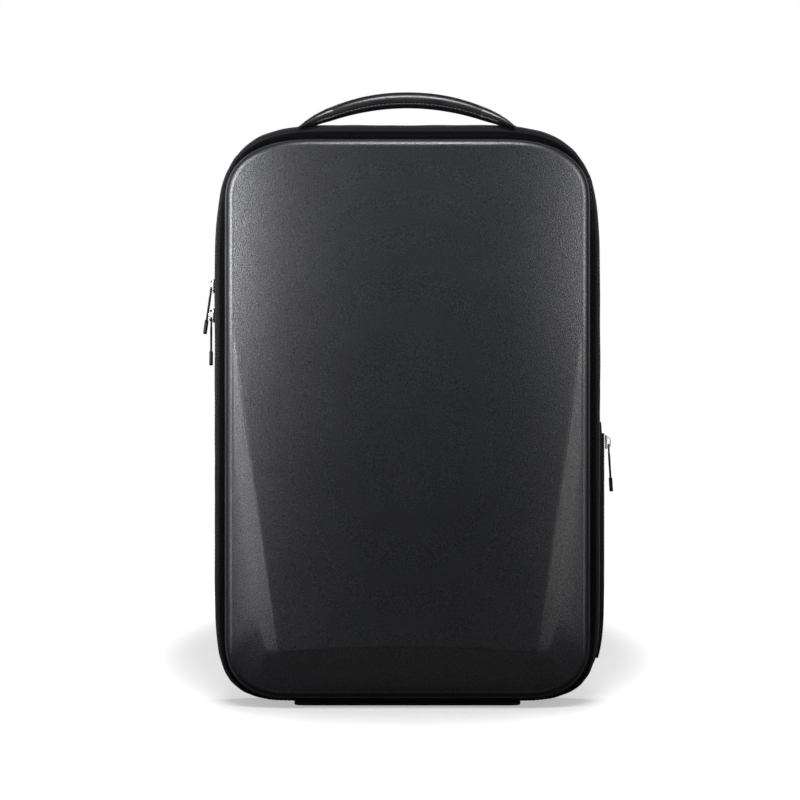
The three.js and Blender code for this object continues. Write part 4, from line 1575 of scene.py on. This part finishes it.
@dataclass
class Handle:
    """The top handle: a padded leather arc with a sewn edge and flattened ends. Sizes in mm."""

    form: Form
    span: float = 166.0
    rise: float = 21.3
    thickness: float = 12.4
    depth: float = 17.0
    gap: float = 10.6
    back: float = 9.0
    tip_back: float = 0.5
    bend: float = 2.07
    forward_from: float = 0.7
    sides: int = 72
    stations: int = 97
    boxiness: float = 0.9
    seam_degrees: float = -27.0
    groove: float = 0.9
    groove_radians: float = 0.1
    stitch_margin: int = 6
    stitch_lift: float = 0.15
    seat: float = 0.4

    # Place as a share of half the span, thickness and depth as shares of the full section
    SECTIONS = (
        (0.0, 1.0, 1.0),
        (0.2, 1.0, 1.0),
        (0.4, 0.97, 1.0),
        (0.58, 0.9, 0.98),
        (0.74, 0.82, 0.9),
        (0.86, 0.66, 0.75),
        (0.94, 0.45, 0.55),
        (1.0, 0.2, 0.35),
    )

    def centre(self, place: Array) -> Array:
        """Draws the handle's middle line: an arc whose ends come forward over the gusset's fold.

        Args:
            place: Places along it, from -1 at the left end to 1 at the right one.

        Returns:
            The line's points.
        """
        start_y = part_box("gusset_front")[0].y
        forward = np.clip(np.abs(place) - self.forward_from, 0, None) / (1 - self.forward_from)
        y = start_y + (self.back + (self.tip_back - self.back) * forward) * MM
        top = self.form.body.top + (self.gap + self.thickness / 2) * MM
        z = top - self.rise * MM * np.abs(place) ** self.bend
        return np.stack([place * self.span * MM / 2, y, z], axis=1)

    def build(self) -> None:
        """Builds the handle, its groove and its stitch rows."""
        places = np.linspace(-1, 1, self.stations)
        table = np.array(self.SECTIONS)
        thick = np.interp(np.abs(places), table[:, 0], table[:, 1]) * self.thickness * MM
        deep = np.interp(np.abs(places), table[:, 0], table[:, 2]) * self.depth * MM
        centres = self.centre(places)
        along = unit(self.centre(places + 1e-3) - self.centre(places - 1e-3))
        out = unit(np.cross(np.array([0.0, 1.0, 0.0]), along))
        out *= np.sign(out[:, 2:3])
        across = np.cross(along, out)
        seams = [math.radians(self.seam_degrees), math.pi - math.radians(self.seam_degrees)]

        def section(angle: Array, i: int, lift: float = 0.0) -> Array:
            """Draws one section, pinched in along both seams.

            Args:
                angle: Angles round the section.
                i: The section's number.
                lift: How far the points stand proud of the leather, in metres.

            Returns:
                The section's points.
            """
            away = np.min([np.abs((angle - seam + np.pi) % (2 * np.pi) - np.pi) for seam in seams], axis=0)
            pinch = 1 - self.groove * MM / (deep[i] / 2) * np.exp(-((away / self.groove_radians) ** 2))
            side, rise = np.cos(angle), np.sin(angle)
            side = np.sign(side) * np.abs(side) ** self.boxiness * (deep[i] / 2 * pinch + lift)
            rise = np.sign(rise) * np.abs(rise) ** self.boxiness * (thick[i] / 2 * pinch + lift)
            return centres[i] + np.outer(side, across[i]) + np.outer(rise, out[i])

        angles = 2 * np.pi * np.arange(self.sides) / self.sides
        rings = [self.seated(section(angles, i)) for i in range(len(places))]
        piece = add_piece("leather_handle", loft(rings), HANDLE_LEATHER, replaces=["handle"])
        inner = range(self.stitch_margin, len(places) - self.stitch_margin)
        for name, seam in zip(("front", "rear"), seams):
            path = np.array([section(np.array([seam]), i, self.stitch_lift * MM)[0] for i in inner])
            stitch_row(
                f"handle_stitches_{name}",
                path,
                unit(path - centres[list(inner)]),
                THREAD_HANDLE,
                False,
                pitch=3.1,
                length=2.2,
                width=0.7,
            )

    def seated(self, points: Array) -> Array:
        """Lays the handle's ends on the front gusset.

        Args:
            points: Points of the handle.

        Returns:
            The points, moved out of the gusset where they would sink into it.
        """
        form = self.form
        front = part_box("gusset_front")[0].y
        table = np.array(Gussets.PROFILE)
        depth = (points[:, 1] - front) / (Gussets.fold * MM)
        share = np.interp(depth, table[:, 1], table[:, 0])
        share = Gussets.seam_share + (Gussets.front_share - Gussets.seam_share) * share
        away = np.stack([points[:, 0], points[:, 2] - form.centre_z], axis=1)
        ways = unit(away)
        inner = form.reaches(form.shell.holds, ways)
        outer = form.reaches(form.body.holds, ways)
        least = inner + (outer - inner) * share + self.seat * MM
        least = np.where(depth < -0.02, 0.0, least)
        reach = np.maximum(np.linalg.norm(away, axis=1), least)
        return np.stack([ways[:, 0] * reach, points[:, 1], form.centre_z + ways[:, 1] * reach], axis=1)


@dataclass
class SidePocket:
    """The zipped pocket on the rear gusset. Sizes in mm."""

    form: Form
    sunk: float = 0.6
    gap: float = 0.3
    facing: float = 1.9
    tape: float = 1.0
    coil: float = 0.8
    stitch_inset: float = 1.2
    steps: int = 48

    def line(self, foot: float, top: float, steps: int) -> tuple[Array, Array]:
        """Draws the pocket's middle line up the body's side.

        Args:
            foot: Height of its lower end.
            top: Height of its upper end.
            steps: How many points it has.

        Returns:
            The line's points and the outward direction at each.
        """
        low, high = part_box("side_pocket")
        z = np.linspace(foot, top, steps)
        x = np.array([self.form.body.half_width_at(v) for v in z])
        lean = np.gradient(x, z)
        out = unit(np.stack([np.ones(steps), np.zeros(steps), -lean], axis=1))
        return np.stack([x, np.full(steps, (low.y + high.y) / 2), z], axis=1), out

    def strip(
        self, node: str, lift: float, thickness: float, sides: int, boxiness: float, taper: float
    ) -> Patch:
        """Makes a strip up the body's side.

        Args:
            node: The solid node whose height and width it takes.
            lift: Height of its underside above the body, in mm.
            thickness: Its thickness in mm.
            sides: Points in a section.
            boxiness: Roundness of a section.
            taper: How much of the strip's size is left at its ends.

        Returns:
            The strip, which follows the body's outline.
        """
        low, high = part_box(node)
        places, out = self.line(low.z, high.z, self.steps)
        share = np.ones(self.steps)
        for i, left in enumerate((taper, (1 + 2 * taper) / 3, (2 + taper) / 3)):
            share[[i, -1 - i]] = left
        places = places + out * ((lift + thickness * share / 2) * MM)[:, None]
        widths, thicknesses = share * (high.y - low.y), share * thickness * MM
        return loft(sweep(places, backwards(self.steps), out, widths, thicknesses, sides, boxiness))

    def build(self) -> None:
        """Builds the facing, the tape, the coil and the stitches along the tape."""
        sunk, facing, tape, coil = self.sunk, self.facing, self.tape, self.coil
        patch = self.strip("side_pocket", -sunk, facing + self.gap + sunk, 40, 0.45, 0.7)
        add_piece("pocket_facing", patch, GUSSET_CLOTH, replaces=["side_pocket"])
        lift = 2 * self.gap + facing
        patch = self.strip("pocket_zip_tape", lift - sunk, tape + sunk, 24, 0.3, 0.96)
        add_piece("pocket_tape", patch, ZIP_TAPE_PAINTED_SHADE, replaces=["pocket_zip_tape"])
        low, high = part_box("pocket_zip_coil")
        places, out = self.line(low.z, high.z, self.steps)
        path = places + out * (lift + tape + coil / 2) * MM
        across = backwards(self.steps)
        ZipTeeth().build("pocket_coil", "pocket_zip_coil", path, across, out, False)
        tape_low, tape_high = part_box("pocket_zip_tape")
        half = (tape_high.y - tape_low.y) / 2 - self.stitch_inset * MM
        for edge, sign in (("front", -1), ("rear", 1)):
            row = places + out * (lift + tape) * MM + across * sign * half
            stitch_row(f"pocket_stitches_{edge}", row, out, THREAD_GUSSET, False)


class Side(Enum):
    """A side of the body, seen from the front."""

    LEFT = -1
    RIGHT = 1


@dataclass
class SliderAndPull:
    """A zip slider with its arch, and the pull tab that hangs from it. Sizes in mm."""

    name: str
    side: Side
    lean_degrees: float
    skew_degrees: float
    length: float = 11.0
    width: float = 8.0
    thickness: float = 1.5
    arch_width: float = 2.0
    arch_length: float = 8.8
    arch_bar: float = 0.9
    arch_foot: float = 1.4
    pin: float = 1.2
    pin_clearance: float = 0.4
    pull_length: float = 37.0
    pull_width: float = 4.2
    pull_thickness: float = 1.6
    grip_length: float = 11.0
    grip_thickness: float = 2.8
    eye_length: float = 7.5
    eye_arm: float = 0.8

    def slider(self) -> list[Patch]:
        """Draws the slider with +X out of the zip.

        Returns:
            Its body and its arch.
        """
        half, end = self.width / 2, self.length / 2
        outline = [
            (-half * 0.6, -end),
            (half * 0.6, -end),
            (half * 0.75, -end * 0.2),
            (half, end * 0.35),
            (half * 0.85, end),
            (-half * 0.85, end),
            (-half, end * 0.35),
            (-half * 0.75, -end * 0.2),
        ]
        body = flat_plate([outline], self.thickness, bevel=0.35)
        body = moved(body, Matrix.Translation((self.thickness * MM / 2, 0, 0)) @ FACING_SIDE)
        roof = self.thickness + 2 * self.pin_clearance + self.pin
        reach = self.arch_length / 2
        window = reach - self.arch_foot
        sunk = self.thickness * 0.5
        arch = [
            (sunk, -reach),
            (roof, -reach),
            (roof + self.arch_bar * 0.7, -window - 0.5),
            (roof + self.arch_bar, -window + 0.6),
            (roof + self.arch_bar, window - 0.6),
            (roof + self.arch_bar * 0.7, window + 0.5),
            (roof, reach),
            (sunk, reach),
            (sunk, window),
            (roof - 0.3, window),
            (roof, window - 0.5),
            (roof, -window + 0.5),
            (roof - 0.3, -window),
            (sunk, -window),
        ]
        return [body, moved(flat_plate([arch], self.arch_width, bevel=0.3), FACING_FRONT)]

    def pull(self) -> list[Patch]:
        """Draws the pull, hanging down from the pin at the origin.

        Returns:
            Its eye, its shank and its grip.
        """
        eye_width = self.pull_width + self.pin
        pin = self.pin / 2
        low = -self.eye_length
        hole = eye_width / 2 - self.eye_arm
        eye = [(-eye_width / 2, low), (eye_width / 2, low), (eye_width / 2, pin), (-eye_width / 2, pin)]
        opening = [(-hole, -pin), (-hole, low + self.pin), (hole, low + self.pin), (hole, -pin)]
        grip_top = -self.pull_length + self.grip_length
        narrow = self.pull_width * 0.38
        shank = [
            (-self.pull_width / 2, low + pin),
            (-narrow, grip_top),
            (-narrow, grip_top - self.grip_length / 2),
            (narrow, grip_top - self.grip_length / 2),
            (narrow, grip_top),
            (self.pull_width / 2, low + pin),
        ]
        grip = [
            (x, y + grip_top - self.grip_length / 2)
            for x, y in rounded_box(self.pull_width * 1.1, self.grip_length, self.pull_width * 0.3)
        ]
        plates = [
            flat_plate([eye, opening], self.pin, bevel=0.25),
            flat_plate([shank], self.pull_thickness, bevel=0.3),
            flat_plate([grip], self.grip_thickness, bevel=0.6),
        ]
        return [moved(plate, FACING_SIDE) for plate in plates]

    def build(self) -> None:
        """Builds the slider on the bag and the pull on its own body."""
        joints = FRAME["record"]["behaviour"]["joints"]
        joint = next(j for j in joints if j["name"] == f"{self.name}_pull_swing")
        side = self.side.value
        pin_out = self.thickness + self.pin_clearance + self.pin / 2
        pin_drop = self.arch_length / 2 - self.arch_foot - self.pin / 2 - self.pin_clearance
        hinge = Vector(joint["pos_m"])
        base = hinge + Vector((-side * pin_out * MM, 0, pin_drop * MM))
        facing = Matrix.Translation(base) @ Matrix.Rotation(0 if side > 0 else math.pi, 4, "Z")
        slider = Patch.joined([moved(part, facing) for part in self.slider()])
        add_piece(f"{self.name}_zip_slider", slider, NICKEL, replaces=[f"{self.name}_slider"])
        hang = (
            Matrix.Translation(hinge)
            @ Matrix.Rotation(math.radians(self.skew_degrees), 4, "X")
            @ Matrix.Rotation(-side * math.radians(self.lean_degrees), 4, "Y")
        )
        pull = Patch.joined([moved(part, hang) for part in self.pull()])
        body = f"{self.name}_pull_body"
        add_piece(f"{self.name}_pull_tab", pull, ENAMEL, body=body, replaces=[f"{self.name}_pull"])


@dataclass
class ShoulderStrap:
    """A padded strap, its webbing, its ladder buckle and its tab. Sizes in mm."""

    side: Side
    spread: float = 52.0
    foot_spread: float = 92.0
    top: float = 428.0
    foot: float = 172.0
    width: float = 62.0
    thickness: float = 12.0
    reach: float = 23.0
    webbing_width: float = 25.0
    webbing_thickness: float = 1.6
    tail: float = 75.0
    buckle_height: float = 30.0
    buckle_thickness: float = 4.0
    buckle_rim: float = 5.0
    buckle_bar: float = 4.0
    tab_height: float = 34.0
    tab_width: float = 38.0
    tab_thickness: float = 3.0
    tab_spread: float = 104.0
    tab_foot: float = 16.0
    gap: float = 0.3
    boxiness: float = 0.6
    stitch_share: float = 0.8
    stitch_margin: int = 3
    tab_shoulder: float = 0.45
    tab_stitch_inset: float = 3.5

    # From the top seam down: height, sideways and backward places, width and thickness, all as shares
    STATIONS = (
        (0.0, 0.0, 0.02, 0.86, 0.5),
        (0.06, 0.0, 0.16, 0.94, 0.85),
        (0.15, 0.02, 0.55, 1.0, 1.0),
        (0.27, 0.08, 0.88, 1.02, 1.0),
        (0.42, 0.2, 1.0, 1.04, 1.0),
        (0.58, 0.4, 0.98, 1.02, 1.0),
        (0.74, 0.65, 0.86, 0.94, 1.0),
        (0.88, 0.86, 0.72, 0.78, 0.85),
        (1.0, 1.0, 0.62, 0.56, 0.4),
    )

    def __post_init__(self) -> None:
        """Names the strap after its side, and works out where its foot and the buckle lie."""
        self.name = self.side.name.lower()
        self.back_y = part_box("back_panel")[1].y / MM
        self.foot_y = self.back_y + self.gap + self.thickness / 2 + self.reach * self.STATIONS[-1][2]
        self.buckle_top = self.foot - self.gap * 2
        self.bar_z = self.buckle_top - self.buckle_height + self.buckle_rim + self.buckle_bar

    def pad(self) -> None:
        """Builds the padded strap with a row of stitches along each edge."""
        rows = smooth_path(np.array(self.STATIONS), 90)
        down, spread, back, width, thick = rows.T
        x = self.side.value * (self.spread + (self.foot_spread - self.spread) * spread)
        y = self.back_y + self.gap + self.thickness / 2 + self.reach * back
        z = self.top - (self.top - self.foot) * down
        centres = np.stack([x, y, z], axis=1) * MM
        along = unit(np.gradient(centres, axis=0))
        along[-1] = (0.0, 0.0, -1.0)
        out, across = strap_frame(along)
        widths, thicknesses = width * self.width * MM, thick * self.thickness * MM
        rings = sweep(centres, across, out, widths, thicknesses, 40, self.boxiness)
        piece = add_piece(
            f"strap_pad_{self.name}", loft(rings), STRAP_CLOTH, replaces=[f"shoulder_strap_{self.name}"]
        )
        # Height of the pad's face at the stitches, as a share of its half thickness
        rise = (1 - self.stitch_share ** (2 / self.boxiness)) ** (self.boxiness / 2)
        inner = slice(self.stitch_margin, -self.stitch_margin)
        face = math.copysign(1.0, out[len(out) // 2][1])
        for edge, sign in (("inner", -1), ("outer", 1)):
            side = (sign * self.stitch_share * widths / 2)[:, None] * across
            lift = (rise * thicknesses / 2 + 0.1 * MM)[:, None] * out
            path = (centres + side + face * lift)[inner]
            stitch_row(f"strap_stitches_{self.name}_{edge}", path, (face * out)[inner], THREAD_STRAP, False)

    def webbing(self) -> None:
        """Builds the webbing: from the tab up to the buckle, round its lower bar and down again."""
        tab_y = self.back_y + self.gap * 2 + self.tab_thickness + self.webbing_thickness / 2
        clear = self.gap + self.webbing_thickness / 2
        radius = math.hypot(self.buckle_bar, self.buckle_thickness) / 2 + clear
        bar_x, bar_z, y = self.foot_spread, self.bar_z, self.foot_y
        tab_top = self.tab_foot + self.tab_height
        path = [
            (self.tab_spread + self.tab_width * 0.3, tab_y, self.tab_foot + self.tab_height * 0.3),
            (self.tab_spread + self.tab_width * 0.2, tab_y, tab_top),
            (
                self.tab_spread + (bar_x - self.tab_spread) * 0.6,
                tab_y + (y - radius - tab_y) * 0.55,
                tab_top + (bar_z - tab_top) * 0.5,
            ),
            (bar_x, y - radius, bar_z - self.buckle_bar * 2.4),
        ]
        for degrees in (180, 135, 90, 45, 0):
            turn = math.radians(degrees)
            path.append((bar_x, y + radius * math.cos(turn), bar_z + radius * math.sin(turn)))
        path += [
            (bar_x, y + radius, bar_z - self.buckle_bar * 2.4),
            (bar_x, y + radius * 2, bar_z - self.tail * 0.6),
            (bar_x, y + radius * 2.5, bar_z - self.tail),
        ]
        centres = smooth_path(np.array(path) * (self.side.value, 1, 1) * MM, 150)
        out, across = strap_frame(unit(np.gradient(centres, axis=0)))
        widths = np.full(len(centres), self.webbing_width * MM)
        thicknesses = np.full(len(centres), self.webbing_thickness * MM)
        rings = sweep(centres, across, out, widths, thicknesses, 20, 0.25)
        add_piece(
            f"webbing_{self.name}", loft(rings), WEBBING_RIB, replaces=[f"strap_webbing_{self.name}"]
        )

    def buckle(self) -> None:
        """Builds the ladder buckle: a rim with two windows and a bar between them."""
        width = self.webbing_width + 2 * self.gap + 2 * self.buckle_rim
        half = self.webbing_width / 2 + self.gap
        middle = self.buckle_height / 2
        windows = (
            (self.buckle_rim * 0.9, self.buckle_rim + self.buckle_bar / 2),
            (self.buckle_rim + self.buckle_bar * 1.5, self.buckle_height - self.buckle_rim),
        )
        outlines = [rounded_box(width, self.buckle_height, self.buckle_rim * 0.8)]
        for low, high in windows:
            corners = ((-half, low), (-half, high), (half, high), (half, low))
            outlines.append([(x, z - middle) for x, z in corners])
        plate = flat_plate(outlines, self.buckle_thickness, bevel=0.7)
        place = Vector((self.side.value * self.foot_spread, self.foot_y, self.buckle_top - middle)) * MM
        placed = moved(plate, Matrix.Translation(place) @ FACING_FRONT)
        add_piece(f"buckle_{self.name}", placed, ACETAL, replaces=[f"strap_buckle_{self.name}"])

    def tab(self) -> None:
        """Builds the tab that holds the webbing at the foot of the back, with its box of stitches."""
        half, top, neck = self.tab_width / 2, self.tab_height, self.webbing_width / 4
        shoulder = top * self.tab_shoulder
        outline = [(-half, 0), (half, 0), (half, shoulder), (neck, top), (-neck, top), (-half, shoulder)]
        plate = flat_plate([outline], self.tab_thickness, bevel=0.9)
        x = self.side.value * (self.tab_spread + self.tab_width * 0.2)
        y = self.back_y + self.gap + self.tab_thickness / 2
        placed = moved(plate, Matrix.Translation(Vector((x, y, self.tab_foot)) * MM) @ FACING_FRONT)
        add_piece(f"tab_{self.name}", placed, WEBBING_RIB, replaces=[f"strap_tab_{self.name}"])
        margin = self.tab_stitch_inset
        side, middle, head = half - margin, top * 0.42, top - margin * 1.4
        box = [(-side, margin), (side, margin), (side, middle), (neck, head), (-neck, head), (-side, middle)]
        face = y + self.tab_thickness / 2 + 0.1
        corners = np.array([(x + u, face, self.tab_foot + v) for u, v in box]) * MM
        edges = zip(corners, np.roll(corners, -1, axis=0))
        path = np.vstack([np.linspace(a, b, 12, endpoint=False) for a, b in edges])
        stitch_row(
            f"tab_stitches_{self.name}",
            path,
            backwards(len(path)),
            THREAD_STRAP,
            True,
            pitch=2.6,
            length=1.9,
            width=0.5,
        )

    def build(self) -> None:
        """Builds all of the strap's pieces."""
        self.pad()
        self.webbing()
        self.buckle()
        self.tab()


# Studio


@dataclass
class Studio:
    """The floor, the lights and the camera. Lengths in metres."""

    photo_side_px: int = 800
    mm_per_px: float = 0.78125
    centre_px: float = 407.4
    floor_px: float = 703.5
    camera_distance: float = 3.0
    focus_y: float = 0.015
    sensor_mm: float = 36.0
    dim: float = 0.04
    floor_reach: float = 30.0
    floor_shade: float = 0.8

    # The floor's glow: least in a pool round the backpack, a painted soft shadow, whose shift and scale give
    # it its shape
    painted_shadow_shift: float = -0.665
    painted_shadow_scale: tuple[float, float] = (4.0, 0.95)
    painted_shadow_edge: tuple[float, float] = (0.75, 1.15)
    painted_shadow_glow: float = 0.45

    # Name, place, aim, size and power of each light
    LIGHTS = (
        ("left_near", (-0.28, -0.22, 0.42), (-0.05, -0.06, 0.42), (0.1, 0.25), 2.3),
        ("left_low", (-0.28, -0.22, 0.16), (-0.05, -0.06, 0.16), (0.1, 0.25), 0.58),
        ("left_side", (-0.5, -0.1, 0.3), (-0.12, -0.06, 0.3), (0.12, 0.5), 0.5),
        ("left_mid", (-0.36, -0.32, 0.42), (-0.05, -0.06, 0.42), (0.1, 0.3), 0.9),
        ("right_near", (0.28, -0.22, 0.42), (0.05, -0.06, 0.42), (0.1, 0.25), 1.15),
        ("right_low", (0.28, -0.22, 0.16), (0.05, -0.06, 0.16), (0.1, 0.25), 0.3),
        ("top_rim", (0.03, -0.2, 0.75), (0.03, -0.06, 0.42), (0.26, 0.06), 3.0),
        ("low_bounce", (0.0, -0.23, 0.004), (0.0, -0.2299, 1.0), (0.6, 0.34), 0.12),
        ("right_side", (0.5, -0.2, 0.35), (0.12, -0.06, 0.35), (0.12, 0.4), 0.15),
        ("side_left", (-1.6, 0.9, 0.8), (0.0, 0.05, 0.24), (0.8, 0.8), 17.0),
        ("side_right", (1.6, 0.9, 0.8), (0.0, 0.05, 0.24), (0.8, 0.8), 17.0),
        ("back_left", (-0.9, 1.7, 1.1), (0.0, 0.1, 0.24), (0.9, 0.9), 26.0),
        ("back_right", (0.9, 1.7, 1.1), (0.0, 0.1, 0.24), (0.9, 0.9), 26.0),
        ("floor_key", (0.0, -2.6, 1.7), (0.0, 0.0, 0.1), (0.8, 0.8), 60.0),
        ("floor_top", (0.0, 0.5, 2.3), (0.0, 0.0, 0.0), (1.2, 0.9), 14.0),
    )

    # Pieces whose edges the lights at the sides and behind would draw as bright lines
    KEPT_DARK = ("shell_film", "rim_piping", "upper_pull_tab", "lower_pull_tab", "pocket_pull_tab")

    def camera(self) -> None:
        """Adds a level camera in front of the shell, at the picture's distance and height."""
        data = bpy.data.cameras.new("camera")
        data.sensor_width = self.sensor_mm
        view = self.photo_side_px * self.mm_per_px * MM
        data.lens = self.sensor_mm * self.camera_distance / view
        camera = bpy.data.objects.new("camera", data)
        half = self.photo_side_px / 2
        camera.location = (
            (half - self.centre_px) * self.mm_per_px * MM,
            self.focus_y - self.camera_distance,
            (self.floor_px - half) * self.mm_per_px * MM,
        )
        camera.rotation_euler = (math.pi / 2, 0, 0)
        bpy.context.scene.collection.objects.link(camera)
        bpy.context.scene.camera = camera

    def light(
        self,
        name: str,
        place: Sequence[float],
        aim: Sequence[float],
        size: Sequence[float],
        power: float,
    ) -> None:
        """Adds a soft rectangular light that the camera doesn't see.

        Args:
            name: The light's name.
            place: Where it stands.
            aim: The point that it faces.
            size: Its width and height.
            power: Its power in watts.
        """
        data = bpy.data.lights.new(name, "AREA")
        data.shape = "RECTANGLE"
        data.size, data.size_y = size
        data.energy = power
        lamp = bpy.data.objects.new(name, data)
        lamp.location = place
        lamp.rotation_euler = (Vector(aim) - Vector(place)).to_track_quat("-Z", "Y").to_euler()
        lamp.visible_camera = False
        bpy.context.scene.collection.objects.link(lamp)

    def floor(self) -> None:
        """Adds the pale floor, which glows so that it meets the white surround without an edge, and glows
        less in a pool round the backpack: a painted soft shadow.
        """
        mesh = bpy.data.meshes.new("floor")
        reach = self.floor_reach
        corners = [(-reach, -reach, 0), (reach, -reach, 0), (reach, reach, 0), (-reach, reach, 0)]
        mesh.from_pydata(corners, [], [(0, 1, 2, 3)])
        # Matt white paper: no shine, and a shade that takes soft shadows
        paper = bpy.data.materials.new("matt_studio_paper")
        paper.use_nodes = True
        tree = paper.node_tree
        shader = tree.nodes["Principled BSDF"]
        shader.inputs["Base Color"].default_value = (self.floor_shade,) * 3 + (1.0,)
        shader.inputs["Roughness"].default_value = 1.0
        shader.inputs["Specular IOR Level"].default_value = 0.0
        shader.inputs["Emission Color"].default_value = (1, 1, 1, 1)
        # The glow dims in a pool round the backpack: a painted soft shadow, on top of the real shadows from
        # the floor lights
        where = add_node(tree, "ShaderNodeTexCoord")
        spread = add_node(
            tree,
            "ShaderNodeMapping",
            {"Location": (0.0, self.painted_shadow_shift, 0.0), "Scale": (*self.painted_shadow_scale, 1.0)},
            {"Vector": where.outputs["Object"]},
        )
        distance = add_node(
            tree, "ShaderNodeVectorMath", {"operation": "LENGTH"}, {0: spread.outputs["Vector"]}
        )
        start, end = self.painted_shadow_edge
        glow_with_painted_shadow = add_node(
            tree,
            "ShaderNodeMapRange",
            {
                "interpolation_type": "SMOOTHSTEP",
                "From Min": start,
                "From Max": end,
                "To Min": self.painted_shadow_glow,
            },
            {"Value": distance.outputs["Value"]},
        )
        tree.links.new(glow_with_painted_shadow.outputs["Result"], shader.inputs["Emission Strength"])
        mesh.materials.append(paper)
        floor = bpy.data.objects.new("floor", mesh)
        floor.visible_diffuse = False
        floor.visible_glossy = False
        bpy.context.scene.collection.objects.link(floor)

    def surround(self) -> None:
        """Makes the world white to the camera and dim to the object."""
        world = bpy.data.worlds.new("surround")
        bpy.context.scene.world = world
        world.use_nodes = True
        tree = world.node_tree
        dim = tree.nodes["Background"]
        dim.inputs["Color"].default_value = (1, 1, 1, 1)
        dim.inputs["Strength"].default_value = self.dim
        bright = add_node(tree, "ShaderNodeBackground", {"Strength": 1.0, "Color": (1, 1, 1, 1)})
        path = add_node(tree, "ShaderNodeLightPath")
        mix = add_node(
            tree,
            "ShaderNodeMixShader",
            links={0: path.outputs["Is Camera Ray"], 1: dim.outputs[0], 2: bright.outputs[0]},
        )
        tree.links.new(mix.outputs[0], tree.nodes["World Output"].inputs["Surface"])

    def build(self) -> None:
        """Sets up the camera, the floor, the surround and the lights."""
        scene = bpy.context.scene
        scene.view_settings.view_transform = "Standard"
        scene.view_settings.look = "None"
        self.camera()
        self.surround()
        for name, place, aim, size, power in self.LIGHTS:
            self.light(name, place, aim, size, power)
        self.floor()

    def share(self) -> None:
        """Gives the floor lights the floor alone, and keeps the rear lights off edges that catch them."""
        objects = bpy.data.objects
        edges = [objects[name] for name in self.KEPT_DARK]
        for name, *_ in self.LIGHTS:
            reach = bpy.data.collections.new(f"reach_of_{name}")
            away = edges if name.startswith(("side_", "back_")) else []
            for item in [objects["floor"]] + away:
                reach.objects.link(item)
            if not name.startswith("floor"):
                for entry in reach.collection_objects:
                    entry.light_linking.link_state = "EXCLUDE"
            objects[name].light_linking.receiver_collection = reach


def main() -> None:
    """Builds the studio and the backpack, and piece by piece."""
    logging.basicConfig(level=logging.INFO, format="%(message)s")
    studio = Studio()
    studio.build()
    form = Form()
    fabric = (FrontShell, ShellPiping, FrontZip, Gussets, MainZip, BackPanel)
    assemblies = [kind(form) for kind in fabric]
    assemblies += [BaseStrip(), Handle(form), SidePocket(form)]
    assemblies += [
        SliderAndPull("upper", Side.LEFT, lean_degrees=7.0, skew_degrees=-16.0),
        SliderAndPull("lower", Side.LEFT, lean_degrees=0.0, skew_degrees=-5.0),
        SliderAndPull("pocket", Side.RIGHT, lean_degrees=3.5, skew_degrees=0.0),
    ]
    assemblies += [ShoulderStrap(side) for side in Side]
    for assembly in assemblies:
        assembly.build()
    studio.share()


if __name__ == "__main__":
    main()
